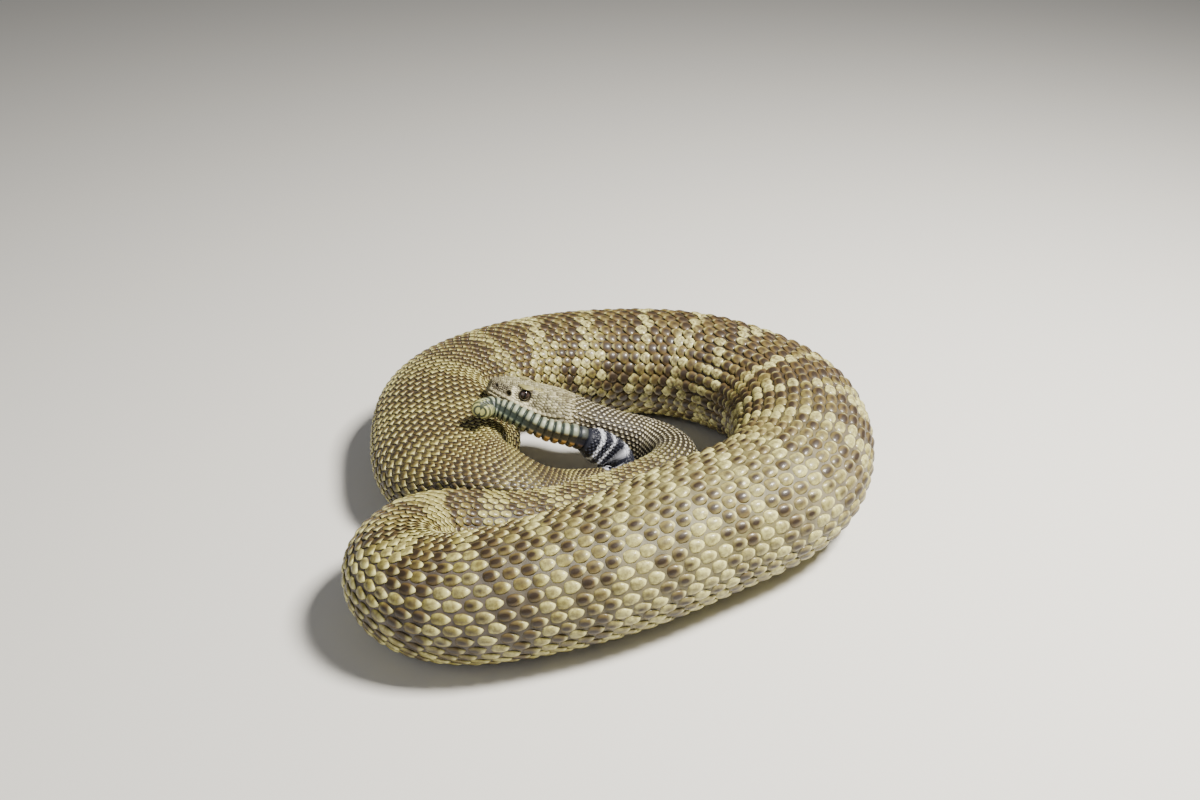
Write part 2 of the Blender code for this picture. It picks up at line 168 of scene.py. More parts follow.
# One ring of the rattle: part of its length, and height as a share of the full height. Then the
# button: place past the last ring in ring lengths, height, and shade from 0 in a groove to 1.
RING_PROFILE = (
    (0.0, 0.78), (0.04, 0.80), (0.09, 0.90), (0.16, 0.965), (0.28, 0.995), (0.42, 1.0),
    (0.56, 0.99), (0.7, 0.97), (0.82, 0.93), (0.91, 0.86), (0.96, 0.80),
)
GROOVE_HEIGHT = 0.78
BUTTON_PROFILE = (
    (0.05, 0.8, 0.0), (0.12, 0.9, 1.0), (0.25, 0.95, 1.0), (0.38, 0.92, 0.55), (0.48, 0.85, 1.0),
    (0.57, 0.75, 1.0), (0.63, 0.6, 0.6), (0.68, 0.42, 1.0), (0.72, 0.0, 1.0),
)

# Fineness of the skin's own grid, and how its rings turn back from the head's start to the body's.
HALF_COLUMNS = 120
ROUND = 2 * HALF_COLUMNS
BODY_STEP = 1.0
HEAD_STEP = 0.3
SNOUT_CAP = 1.8
CAP_ROWS = 9
SKIN_COLUMNS = 192
SKIN_BODY_STEP = 3.2
SKIN_FLOOR = 0.8
UNWIND = 70.0
MERGE = 1e-6

# Lie of the scales: how many rows run over the back at each distance, and their spacing.
ROW_COUNTS = ((0, 25), (600, 25), (700, 38), (775, 40), (800, 33), (830, 25), (905, 21))
DORSAL_SHARE = 0.78
PITCH_PER_ROW = 1.2
BEND_FROM = 1.4
BEND_CROWDING = 0.75
FIRST_SCALE = -13.0
FINE_STEP = 0.5
COAT_PIECES = 4
SEED = 11

# Shape of one scale: how its grid crowds to the rim, how oval it is and how its tip narrows.
RIM_CROWDING = 0.78
OVAL = 0.46
BLUNT_TIP = 0.34
SHARP_TIP = 0.78
SHARP_PACKING = 0.4
SHARP_FROM = 545.0
SCALE_FLOOR = 0.05

# How far a scale turns at random, and the least and most that bending may change its length and
# width; a scale that is bent further is dropped.
SCALE_TURN = 0.16
LENGTH_KEPT = (0.45, 1.6)
WIDTH_KEPT = (0.45, 1.5)

# Share of the map that one scale's patch takes, and the map's free edge.
PATCH = 0.003
MAP_EDGE = 0.005

# Where the markings change, in millimetres from the nape: the start and end of a fade, or the
# middle and reach of a hill, or the four corners of a band.
NECK_FADE = (52.0, 92.0)
TAIL_FADE = (VENT + 4, VENT + 9)
LIGHT_LOOP = (365.0, 125.0)
STRONG_PALE = (400.0, 500.0, 640.0, 700.0)
PLAIN_FADE = (680.0, 730.0)
HIND_FADE = (430.0, 530.0)
# SHADED_LOOP: where the hind coils are darkened most, as painted shade.
SHADED_LOOP = (430.0, 490.0, 560.0, 620.0)
# LAST_FADE: from here on, the painted shade over the roots of the scales is deeper.
LAST_FADE = (655.0, 715.0)

# Stage: camera, lens and lights, in metres, degrees, millimetres of lens and watts.
CAMERA_PLACE = (-0.00938, -0.46337, 0.3376)
CAMERA_TILT = 59.0
LENS = 34.32
SENSOR = 36.0
FLOOR_SIZE = 4.0
SKY = (0.97, 0.98, 1.0)
SKY_STRENGTH = 0.15
LIGHT_AIM = (0, 0, 0.03)
LIGHTS = (
    ("key", (0.43, -0.10, 0.78), 0.2, 24.0, (1.0, 0.97, 0.90)),
    ("fill", (-0.7, -0.7, 0.7), 0.8, 2.5, (0.97, 0.98, 1.0)),
)


class SnakeSizes(bpy.types.PropertyGroup):
    """Sizes that change how the coat looks."""

    scale_length: bpy.props.FloatProperty(
        name="Scale length", description="Length of a back scale as a share of the distance to the next",
        default=1.06, min=0.7, max=1.6)
    scale_width: bpy.props.FloatProperty(
        name="Scale width", description="Width of a back scale as a share of the distance between rows",
        default=1.06, min=0.6, max=1.6)
    scale_dome: bpy.props.FloatProperty(
        name="Scale dome", description="Height of a scale's dome as a share of the distance between rows",
        default=0.24, min=0.02, max=0.4)
    blotch_pitch: bpy.props.FloatProperty(
        name="Diamond spacing", description="Distance from one diamond to the next along the back, in mm",
        default=30.0, min=10.0, max=80.0)
    head_scale: bpy.props.FloatProperty(
        name="Head scale", description="Spacing of the smallest scales of the head, in mm",
        default=1.05, min=0.6, max=3.0)


def colour_property(name, description, default):
    """A colour that a user may change."""
    return bpy.props.FloatVectorProperty(
        name=name, description=description, subtype="COLOR", size=3, min=0.0, max=1.0, default=default)


class SnakeColours(bpy.types.PropertyGroup):
    """Colours of the skin, the scales, the eyes, the rattle and the stage."""

    straw: colour_property("Straw", "Ground colour of the scales", (0.32, 0.275, 0.060))
    tan: colour_property("Tan", "Paler scales of the ground", (0.48, 0.44, 0.125))
    olive: colour_property("Olive", "Lowest rows of the flanks", (0.34, 0.315, 0.058))
    # Cream also paints a highlight on the free tip of each scale.
    cream_and_highlight: colour_property("Cream", "Pale scales beside the diamonds and the free tips", (0.82, 0.77, 0.32))
    # Brown also paints shade in the nostrils, heat pits and eye sockets, and the shadow under the brows.
    brown_and_shade: colour_property("Brown", "Middle of the dark scales", (0.030, 0.018, 0.009))
    umber: colour_property("Umber", "Scales inside a diamond", (0.115, 0.070, 0.026))
    # Bark also paints shade round the rims and over the roots of the scales.
    bark_and_shade: colour_property("Bark", "Roots of the scales and the skin in the folds", (0.035, 0.027, 0.018))
    between: colour_property("Between", "Soft skin where it is stretched", (0.19, 0.165, 0.165))
    keel: colour_property("Keel", "Keels of the neck's small scales", (0.80, 0.72, 0.52))
    belly: colour_property("Belly", "Wide plates of the belly", (0.62, 0.52, 0.24))
    head: colour_property("Head", "Crown and cheeks of the head", (0.235, 0.215, 0.105))
    head_pale: colour_property("Head pale", "Lips and the patch before the eye", (0.88, 0.80, 0.52))
    # Head dark also paints shade round the rims of the head's scales.
    head_dark_and_shade: colour_property("Head dark", "Bar behind the eye and the dark specks", (0.055, 0.042, 0.024))
    tail_dark: colour_property("Tail dark", "Dark rings of the tail", (0.012, 0.013, 0.024))
    tail_pale: colour_property("Tail pale", "Pale rings of the tail", (0.72, 0.73, 0.80))
    horn: colour_property("Horn", "Sides of the rattle", (0.20, 0.24, 0.14))
    # Horn light is a painted highlight on the rattle's upper side.
    horn_highlight: colour_property("Horn light", "Upper side of the rattle", (0.46, 0.50, 0.36))
    horn_warm: colour_property("Horn warm", "Underside of the rattle near its base", (0.52, 0.27, 0.05))
    horn_pale: colour_property("Horn pale", "Tip of the rattle", (0.55, 0.56, 0.20))
    # Groove is painted shade in the rattle's grooves and along its sides.
    groove: colour_property("Groove", "Grooves between the rings of the rattle", (0.016, 0.026, 0.024))
    iris: colour_property("Iris", "Iris of the eye", (0.050, 0.030, 0.028))
    floor: colour_property("Floor", "Floor of the stage", (0.74, 0.72, 0.68))


def smooth_curve(points):
    """Natural cubic spline through the points, read at any distance along their chords."""
    knots = np.asarray(points, dtype=float)
    chord = np.linalg.norm(np.diff(knots[:, :2], axis=0), axis=1)
    place = np.concatenate([[0.0], np.cumsum(chord)])
    count = len(knots)
    system = np.eye(count)
    pull = np.zeros_like(knots)
    for i in range(1, count - 1):
        system[i, i - 1:i + 2] = (chord[i - 1], 2 * (chord[i - 1] + chord[i]), chord[i])
        pull[i] = 6 * ((knots[i + 1] - knots[i]) / chord[i] - (knots[i] - knots[i - 1]) / chord[i - 1])
    bend = np.linalg.solve(system, pull)

    def read(at):
        i = np.clip(np.searchsorted(place, at) - 1, 0, count - 2)
        past = (at - place[i])[:, None]
        left = (place[i + 1] - at)[:, None]
        span = chord[i][:, None]
        curved = (bend[i] * left ** 3 + bend[i + 1] * past ** 3) / (6 * span)
        straight = (knots[i] / span - bend[i] * span / 6) * left
        return curved + straight + (knots[i + 1] / span - bend[i + 1] * span / 6) * past

    return read, place


def even_stations(points, first, step):
    """Stations one step apart along the curve, from the point of number first to its end."""
    read, place = smooth_curve(points)
    dense = read(np.linspace(place[first], place[-1], CURVE_SAMPLES))
    run = np.concatenate([[0.0], np.cumsum(np.linalg.norm(np.diff(dense[:, :2], axis=0), axis=1))])
    count = int(round(run[-1] / step))
    distance = np.linspace(0.0, run[-1], count + 1)
    return distance, read_columns(distance, run, dense)


def read_columns(at, knots, table):
    """Each column of a table read at the same places."""
    return np.stack([np.interp(at, knots, table[:, k]) for k in range(table.shape[1])], 1)


def softened(at, table, column, reach, count, weights=None, lowest=-math.inf):
    """A table's column read at each place, with its corners rounded off over the reach."""
    table = np.array(table, dtype=float)
    near = [np.interp(np.maximum(at + step, lowest), table[:, 0], table[:, column])
            for step in reach * np.linspace(-1.0, 1.0, count)]
    return np.average(near, axis=0, weights=weights)


def read_girth(distance):
    """Half width and height of the body at each distance."""
    weights = 1.0 - np.abs(np.linspace(-1.0, 1.0, BLEND_SAMPLES)) * BLEND_FALL
    return [softened(distance, GIRTH, column, GIRTH_BLEND, BLEND_SAMPLES, weights) for column in (1, 2)]


def narrowest_nearby(values, reach):
    """Each value eased down to the least one within reach, without a step."""
    count = len(values)
    padded = np.pad(values, reach, mode="edge")
    least = np.min([padded[k:k + count] for k in range(2 * reach + 1)], axis=0)
    padded = np.pad(least, reach, mode="edge")
    ease = np.mean([padded[k:k + count] for k in range(2 * reach + 1)], axis=0)
    return np.minimum(ease, values)


def room_beside(distance, centre, half_width):
    """Room to the left and right: less inside a bend and where stretches press together."""
    along = np.gradient(centre[:, :2], distance, axis=0)
    along /= np.linalg.norm(along, axis=1)[:, None]
    left = np.stack([-along[:, 1], along[:, 0]], axis=1)
    turn = (np.gradient(along, distance, axis=0) * left).sum(axis=1)
    inner = TIGHTEST_INNER / np.maximum(np.abs(turn), TINY)
    free = FREE_ROOM * half_width
    to_left = np.where(turn > 0, np.minimum(free, inner), free)
    to_right = np.where(turn < 0, np.minimum(free, inner), free)
    for i, here in enumerate(centre[:, :2]):
        offset = centre[:, :2] - here
        apart = np.linalg.norm(offset, axis=1)
        beside = np.abs(offset @ along[i]) < BESIDE_SPREAD * apart + BESIDE_SLACK
        other = np.abs(distance - distance[i]) > SAME_STRETCH
        close = apart < FREE_ROOM * (half_width[i] + half_width)
        for j in np.nonzero(beside & other & close)[0]:
            share = apart[j] * half_width[i] / (half_width[i] + half_width[j]) - SIDE_GAP / 2
            if offset[j] @ left[i] > 0:
                to_left[i] = min(to_left[i], share)
            else:
                to_right[i] = min(to_right[i], share)
    return narrowest_nearby(to_left, EASE_STATIONS), narrowest_nearby(to_right, EASE_STATIONS)


def unit(vectors):
    """The same directions, one long."""
    return vectors / np.maximum(np.linalg.norm(vectors, axis=-1, keepdims=True), TINY)


def ease(value, low, high):
    """Smooth step from 0 at low to 1 at high."""
    share = np.clip((value - low) / (high - low), 0.0, 1.0)
    return share * share * (3 - 2 * share)


def bump(value, middle, width):
    """Rounded bump, 1 at its middle."""
    return np.exp(-((value - middle) / width) ** 2)


def even_around(lines, count):
    """Each row of points read again at equal steps along its length."""
    rows = []
    for line in lines:
        run = np.concatenate([[0.0], np.cumsum(np.linalg.norm(np.diff(line, axis=0), axis=1) + TINY)])
        rows.append(read_columns(np.linspace(0.0, run[-1], count + 1), run, line))
    return np.array(rows)


def join_halves(one, other):
    """Rings from two half rings that both run from the back to the belly."""
    return np.concatenate([one, other[:, -2::-1]], axis=1)


def head_turn():
    """The way the head faces: x runs forward from the nape, y to its left and z up."""
    yaw = Matrix.Rotation(math.radians(HEAD_YAW), 3, "Z")
    pitch = Matrix.Rotation(math.radians(-HEAD_PITCH), 3, "Y")
    roll = Matrix.Rotation(math.radians(HEAD_ROLL), 3, "X")
    return np.array(yaw @ pitch @ roll)


def level_left(forward):
    """Level directions to the left of the forward ones."""
    return unit(np.stack([-forward[:, 1], forward[:, 0], np.zeros(len(forward))], axis=1))


class BodyWay:
    """Middle line of the body with its directions and sizes at fine steps."""

    def __init__(self):
        plan = np.array(ROUTE, dtype=float) - (*PLAN_CENTRE, 0)
        distance, centre = even_stations(plan, NAPE_STATION, STATION_STEP)
        half_width, height = read_girth(distance)
        centre[:, 2] = np.maximum(centre[:, 2], 0.0) + height / 2
        to_left, to_right = room_beside(distance, centre, half_width)
        along = np.gradient(centre, distance, axis=0)
        along[0] = -head_turn()[:, 0]
        self.length = distance[-1]
        self.nape = centre[0]
        sizes = np.stack([half_width, height / 2, to_left, to_right], axis=1)
        self.table = (distance, np.concatenate([centre, along, sizes], axis=1))

    def read(self, at):
        """Middle, forward, left and up, and the four sizes, at each place."""
        row = read_columns(np.atleast_1d(at), *self.table)
        forward = unit(row[:, 3:6])
        left = level_left(forward)
        return row[:, 0:3], forward, left, np.cross(forward, left), row[:, 6:]


def body_grid(way, distance):
    """Rings of the body's outer surface, evenly spaced round each half."""
    centre, _, left, up, sizes = way.read(distance)
    half_width, half_height, to_left, to_right = (sizes[:, k][:, None] for k in range(4))
    turn = np.linspace(0.0, math.pi, 2 * HALF_COLUMNS + 1)[None, :]
    rise = half_height * np.cos(turn) * (1 + BELLY_SINK * (np.cos(turn) < 0))
    halves = []
    for side, room in ((1, to_left), (-1, to_right)):
        reach = np.maximum(half_width * np.abs(np.sin(turn)), TINY)
        reach = (reach ** -FLANK_SQUARENESS + room ** -FLANK_SQUARENESS) ** (-1 / FLANK_SQUARENESS)
        points = centre[:, None] + side * left[:, None] * reach[..., None] + up[:, None] * rise[..., None]
        points[..., 2] = np.maximum(points[..., 2], 0.0)
        halves.append(even_around(points, HALF_COLUMNS))
    return join_halves(*halves)


def head_grid(back):
    """Rings of the plain head as distance back from the snout, side and rise."""
    half_width, above, below = (
        softened(back, HEAD_PROFILE, column, HEAD_BLEND, HEAD_SAMPLES, lowest=SNOUT_CAP)
        for column in (1, 2, 3))
    behind = np.maximum(0.0, back - NAPE_BLEND_FROM) / (HEAD_LENGTH - NAPE_BLEND_FROM)
    toward_nape = (behind ** NAPE_BLEND_EASE)[:, None, None]
    fine = np.linspace(0.0, 1.0, OUTLINE_SAMPLES)
    spread = np.linspace(-OUTLINE_SPREAD, OUTLINE_SPREAD, HEAD_SAMPLES)
    outlines = []
    for outline in (SNOUT_OUTLINE, NAPE_OUTLINE):
        table = np.array(outline)
        mirrored = np.concatenate([table[:0:-1] * (-1, 1), table, table[-2::-1] * (-1, 1)])
        wide = np.linspace(-1.0, 2.0, len(mirrored))
        outlines.append(np.mean([read_columns(fine + k, wide, mirrored) for k in spread], axis=0))
    shape = (1 - toward_nape) * outlines[0] + toward_nape * outlines[1]
    cap = np.sqrt(1 - np.clip(1 - back / SNOUT_CAP, 0.0, 1.0) ** 2)
    side = shape[..., 0] * (half_width * cap)[:, None]
    rise = shape[..., 1] * np.where(shape[..., 1] > 0, above[:, None], below[:, None]) * cap[:, None]
    lines = np.stack([np.broadcast_to(back[:, None], side.shape), side, rise], axis=-1)
    half = even_around(lines, HALF_COLUMNS)
    return join_halves(half * (1, -1, 1), half)


def grid_normals(points):
    """Outward directions of a grid of rings."""
    down = np.gradient(points, axis=0)
    wrapped = np.concatenate([points[:, -2:-1], points, points[:, 1:2]], axis=1)
    around = (wrapped[:, 2:] - wrapped[:, :-2]) / 2
    normals = unit(np.cross(around, down))
    outward = points - points.mean(axis=1, keepdims=True)
    sign = np.sign((normals * outward).sum(axis=-1).mean())
    return normals * sign


def mouth_rise(back):
    """Height of the line of the mouth."""
    return softened(back, MOUTH_LINE, 1, MOUTH_BLEND, HEAD_SAMPLES)


def eye_opening(back, rise):
    """Distance from the middle of the eye, 1 at the rim of its opening."""
    return np.hypot((back - EYE_PLACE[0]) / EYE_OPENING[0], (rise - EYE_PLACE[2]) / EYE_OPENING[1])


def shape_head(points, normals):
    """Carve the lips, eye openings, brows, nostrils and heat pits into the plain head."""
    back, side, rise = (points[..., k] for k in range(3))
    hand = np.sign(side)
    out = np.abs(side)
    flank = ease(out / np.maximum(out.max(axis=1, keepdims=True), TINY), 0.35, 0.7)
    above_mouth = rise - mouth_rise(back)
    mouth = flank * (1 - ease(back, *MOUTH_END))
    height, lengthwise, level = CHEEK_RELIEF
    push = height * flank * bump(back, *lengthwise) * bump(above_mouth, *level)
    for height, level in LIP_RELIEF:
        push += height * mouth * bump(above_mouth, *level)
    for height, lengthwise, outward in MUZZLE_RELIEF:
        push += height * (rise > MUZZLE_RISE) * bump(back, *lengthwise) * bump(out, *outward)
    for place, radius, depth, _ in HOLES:
        away = np.sqrt((back - place[0]) ** 2 + (out - place[1]) ** 2 * 0.4 + (rise - place[2]) ** 2)
        push += 0.3 * bump(away, radius * 1.5, radius * 0.5)
        push -= depth * (1 - ease(away, radius * 0.35, radius * 1.15))
    shaped = points + normals * push[..., None]

    opening = eye_opening(back, rise)
    on_side = out > SIDE_FROM
    lid = EYE_PLACE[1] + LID_OUT
    socket = lid - SOCKET_DEPTH * (1 - ease(opening, 0.55, 1.0))
    target = hand * np.where(opening < 1, socket, lid)
    shaped[..., 1] += (target - shaped[..., 1]) * (1 - ease(opening, 1.08, 1.75)) * on_side
    brow = bump(back, BROW_PLACE[0], 5.0) * bump(rise, BROW_PLACE[2] - 0.1, 0.95) * on_side
    shaped[..., 1] += hand * BROW_PUSH[0] * brow
    shaped[..., 2] += BROW_PUSH[1] * brow
    return shaped


class Surface:
    """Outer surface of the whole snake as rings, read by distance and place round the body."""

    def __init__(self):
        way = BodyWay()
        self.way = way
        self.length = way.length
        distance = np.arange(0.0, way.length, BODY_STEP)
        body = body_grid(way, distance)

        turn = np.linspace(0.0, math.pi / 2, CAP_ROWS)[:-1]
        back = np.arange(SNOUT_CAP, HEAD_LENGTH, HEAD_STEP)
        back = np.concatenate([SNOUT_CAP * (1 - np.cos(turn)), back])
        head = head_grid(back)
        head = shape_head(head, grid_normals(head))
        nape = self.in_place(head_grid(np.array([HEAD_LENGTH])))[0]

        lead = np.linalg.norm(body[0, :-1] - nape[0], axis=1).argmin() / ROUND
        lead -= lead > 0.5
        shift = lead * (1 - ease(distance, 0.0, UNWIND))
        self.places = np.linspace(0.0, 1.0, ROUND + 1)
        body = np.array([read_columns((self.places + part) % 1.0, self.places, ring)
                         for ring, part in zip(body, shift)])
        middle = body.mean(axis=1, keepdims=True)
        narrow = TAIL_NARROWING * ease(distance, way.length - TAIL_END, way.length) ** 2
        body = middle + (body - middle) * (1 - narrow[:, None, None])
        step = (body[0] - nape)[None] * ease(back, NAPE_STEP_FROM, HEAD_LENGTH)[:, None, None]
        self.face = head
        self.backs = back
        self.rows = np.concatenate([back - HEAD_LENGTH, distance])
        self.points = np.concatenate([self.in_place(head) + step, body])
        self.normals = grid_normals(self.points)
        self.stretch_along = np.linalg.norm(np.gradient(self.points, self.rows, axis=0), axis=-1)
        self.around = np.linalg.norm(np.diff(self.points, axis=1), axis=-1).sum(axis=1)

    def in_place(self, points):
        """Points of the head's own frame set on the nape."""
        local = np.stack([HEAD_LENGTH - points[..., 0], points[..., 1], points[..., 2]], axis=-1)
        return local @ head_turn().T + self.way.nape

    def read(self, table, s, v):
        """A grid table at distances s and places v round the body."""
        s = np.clip(s, self.rows[0], self.rows[-1])
        i = np.clip(np.searchsorted(self.rows, s) - 1, 0, len(self.rows) - 2)
        down = (s - self.rows[i]) / (self.rows[i + 1] - self.rows[i])
        at = (v % 1.0) * ROUND
        j = np.minimum(at.astype(int), ROUND - 1)
        across = at - j
        if table.ndim == 3:
            down, across = down[..., None], across[..., None]
        near = table[i, j] * (1 - across) + table[i, j + 1] * across
        far = table[i + 1, j] * (1 - across) + table[i + 1, j + 1] * across
        return near * (1 - down) + far * down

    def face_place(self, s, v):
        """Distance back, rise and side of places on the head; far off for the body."""
        on_head = s < 0
        back = np.where(on_head, s, -1.0) + HEAD_LENGTH
        i = np.clip(np.searchsorted(self.backs, back), 0, len(self.backs) - 1)
        j = np.minimum(((v % 1.0) * ROUND).astype(int), ROUND - 1)
        point = self.face[i, j]
        values = np.stack([point[..., 0], point[..., 2], np.abs(point[..., 1])], axis=-1)
        return np.where(on_head[..., None], values, np.array((100.0, 0.0, 0.0)))

    @staticmethod
    def row_share(s):
        """Distance between two rows of back scales as a share of the way round the body."""
        return DORSAL_SHARE / np.interp(s, *np.transpose(ROW_COUNTS))

    def row_gap(self, s):
        """Distance between two rows of back scales."""
        return np.interp(s, self.rows, self.around) * self.row_share(s)

    def pitch(self, s):
        """Distance along the middle line from one scale of a row to the next, less in a tight bend."""
        widest = np.interp(s, self.rows, self.stretch_along.max(axis=1))
        return PITCH_PER_ROW * self.row_gap(s) / (1 + BEND_CROWDING * np.clip(widest - BEND_FROM, 0.0, 2.0))


def side_place(v):
    """Place round the body from -1 over the back at 0 to 1, with the belly at both ends."""
    v = v % 1.0
    return np.where(v <= 0.5, v / 0.5, (v - 1.0) / 0.5)


def coat_depth(surface, s, v):
    """How far the skin lies under the outer surface."""
    gap = surface.row_gap(s)
    head = ease(-s, 8.0, 20.0)
    packed = np.clip(1.0 / np.maximum(surface.read(surface.stretch_along, s, v), 0.3), 0.7, 2.0)
    return (1 - head) * gap * (0.24 + 0.04 * packed) + head * 0.3


def closed_template(build):
    """Points and faces of a raised grid whose rim is set down and closed below."""
    rim = [edge for edge in build.edges if len(edge.link_faces) == 1]
    for edge in rim:
        for vert in edge.verts:
            vert.co.z = 0.0
    bmesh.ops.holes_fill(build, edges=rim, sides=0)
    bmesh.ops.recalc_face_normals(build, faces=build.faces)
    build.verts.index_update()
    points = np.array([vert.co for vert in build.verts])
    faces = [[vert.index for vert in face.verts] for face in build.faces]
    build.free()
    return points, faces


def round_scale(along, across, keel, taper=BLUNT_TIP):
    """Domed scale with a keel: a grid rounded to an oval, raised, and closed below."""
    build = bmesh.new()
    bmesh.ops.create_grid(build, x_segments=along, y_segments=across, size=1.0)
    for vert in build.verts:
        x = math.copysign(abs(vert.co.x) ** RIM_CROWDING, vert.co.x)
        y = math.copysign(abs(vert.co.y) ** RIM_CROWDING, vert.co.y)
        vert.co.x = x * math.sqrt(1 - OVAL * y * y)
        vert.co.y = y * math.sqrt(1 - OVAL * x * x) * (1 - 0.07 * x - taper * max(0.0, x) ** 2)
        radius = 0.5 * max(abs(x), abs(y)) + 0.5 * min(1.0, math.hypot(vert.co.x, vert.co.y))
        ridge = keel * math.exp(-(y / 0.2) ** 2) * max(0.0, 1 - abs(x) ** 3)
        vert.co.z = max(0.0, 1 - radius ** 2) ** 0.62 * (1 + 0.12 * x) + ridge
    return closed_template(build)


def belly_plate():
    """Wide plate with both ends swept forward and rounded down."""
    build = bmesh.new()
    bmesh.ops.create_grid(build, x_segments=4, y_segments=20, size=1.0)
    for vert in build.verts:
        vert.co.x -= 0.25 * abs(vert.co.y) ** 3
        vert.co.z = 1 - abs(vert.co.y) ** 8
    return closed_template(build)


def lay_scales(surface, shape, s, v, *sizes):
    """Place one scale shape at every root, bent to the surface below it, with its attributes.

    The sizes, one for all or one for each, are length, width, height of the root, height of the tip,
    height of the dome, and a number from 0 to 1 that varies the scale's turn and colour.
    """
    points, faces = shape
    x, y, z = points.T
    length, width, root, tip, dome, chance = (np.broadcast_to(size, s.shape) for size in sizes)
    stretch = surface.read(surface.stretch_along, s, v)
    around = np.interp(s, surface.rows, surface.around)
    tilt = (chance - 0.5) * SCALE_TURN
    along = (x[None] + y[None] * tilt[:, None]) * (length / 2 / np.maximum(stretch, 0.3))[:, None]
    across = (y[None] - x[None] * tilt[:, None]) * (width / 2 / around)[:, None]
    at_s = s[:, None] + along
    at_v = v[:, None] + across
    height = root[:, None] + (tip - root)[:, None] * (x[None] + 1) / 2 + dome[:, None] * z[None]
    normal = unit(surface.read(surface.normals, at_s, at_v))
    made = surface.read(surface.points, at_s, at_v) + normal * height[..., None]
    made[..., 2] = np.maximum(made[..., 2], SCALE_FLOOR)
    ends = made[:, [x.argmin(), x.argmax(), y.argmin(), y.argmax()]]
    long = np.linalg.norm(ends[:, 1] - ends[:, 0], axis=-1) / length
    wide = np.linalg.norm(ends[:, 3] - ends[:, 2], axis=-1) / width
    whole = np.ones(len(s), dtype=bool)
    for share, (least, most) in ((long, LENGTH_KEPT), (wide, WIDTH_KEPT)):
        whole &= (share > least) & (share < most)
    s, v, chance, made = s[whole], v[whole], chance[whole], made[whole]
    rooted = np.stack([s, side_place(v), chance], axis=-1)
    return {
        "points": made.reshape(-1, 3),
        "faces": faces,
        "size": len(points),
        "count": len(s),
        "place": np.repeat(rooted, len(points), axis=0),
        "leaf": np.tile(points, (len(s), 1)),
        "face": np.repeat(surface.face_place(s, v), len(points), axis=0),
        "s": s,
        "v": v,
    }


def joined_mesh(name, coats):
    """One mesh object of many laid shapes, with the map that keeps each one's patch apart."""
    low = min(coat["s"].min() for coat in coats)
    high = max(coat["s"].max() for coat in coats)
    starts, corners, patches = [], [], []
    offset = 0
    corner_count = 0
    for coat in coats:
        flat = np.concatenate([np.array(face) for face in coat["faces"]])
        sizes = np.array([len(face) for face in coat["faces"]])
        first = np.concatenate([[0], np.cumsum(sizes)[:-1]])
        jumps = np.arange(coat["count"])[:, None]
        corners.append((flat[None] + jumps * coat["size"] + offset).ravel())
        starts.append((first[None] + jumps * len(flat) + corner_count).ravel())
        spot = np.stack([(coat["s"] - low) / max(high - low, TINY), coat["v"] % 1.0], axis=-1)
        leaf = coat["leaf"][:coat["size"], :2][flat]
        patch = MAP_EDGE + (1 - 2 * MAP_EDGE) * spot[:, None] + leaf[None] * PATCH / 2
        patches.append(patch.reshape(-1, 2))
        offset += len(coat["points"])
        corner_count += len(flat) * coat["count"]
    mesh = bpy.data.meshes.new(name)
    points = np.concatenate([coat["points"] for coat in coats]) * MM
    mesh.vertices.add(len(points))
    mesh.vertices.foreach_set("co", points.astype(np.float32).ravel())
    mesh.loops.add(corner_count)
    mesh.loops.foreach_set("vertex_index", np.concatenate(corners).astype(np.int32))
    starts = np.concatenate(starts).astype(np.int32)
    mesh.polygons.add(len(starts))
    mesh.polygons.foreach_set("loop_start", starts)
    mesh.update(calc_edges=True)
    bake = mesh.uv_layers.new(name="OFBake")
    bake.data.foreach_set("uv", np.concatenate(patches).astype(np.float32).ravel())
    for key in ("place", "leaf", "face"):
        add_attribute(mesh, key, np.concatenate([coat[key] for coat in coats]))
    mesh.validate()
    mesh.shade_smooth()
    return link_piece(name, mesh)


def add_attribute(mesh, name, values):
    """Three numbers for each point, read by the materials."""
    layer = mesh.attributes.new(name, "FLOAT_VECTOR", "POINT")
    layer.data.foreach_set("vector", np.asarray(values, dtype=np.float32).ravel())


def link_piece(name, mesh):
    """An object for the mesh, riding with the one body of the part."""
    piece = bpy.data.objects.new(name, mesh)
    bpy.context.scene.collection.objects.link(piece)
    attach(piece, "root")
    return piece


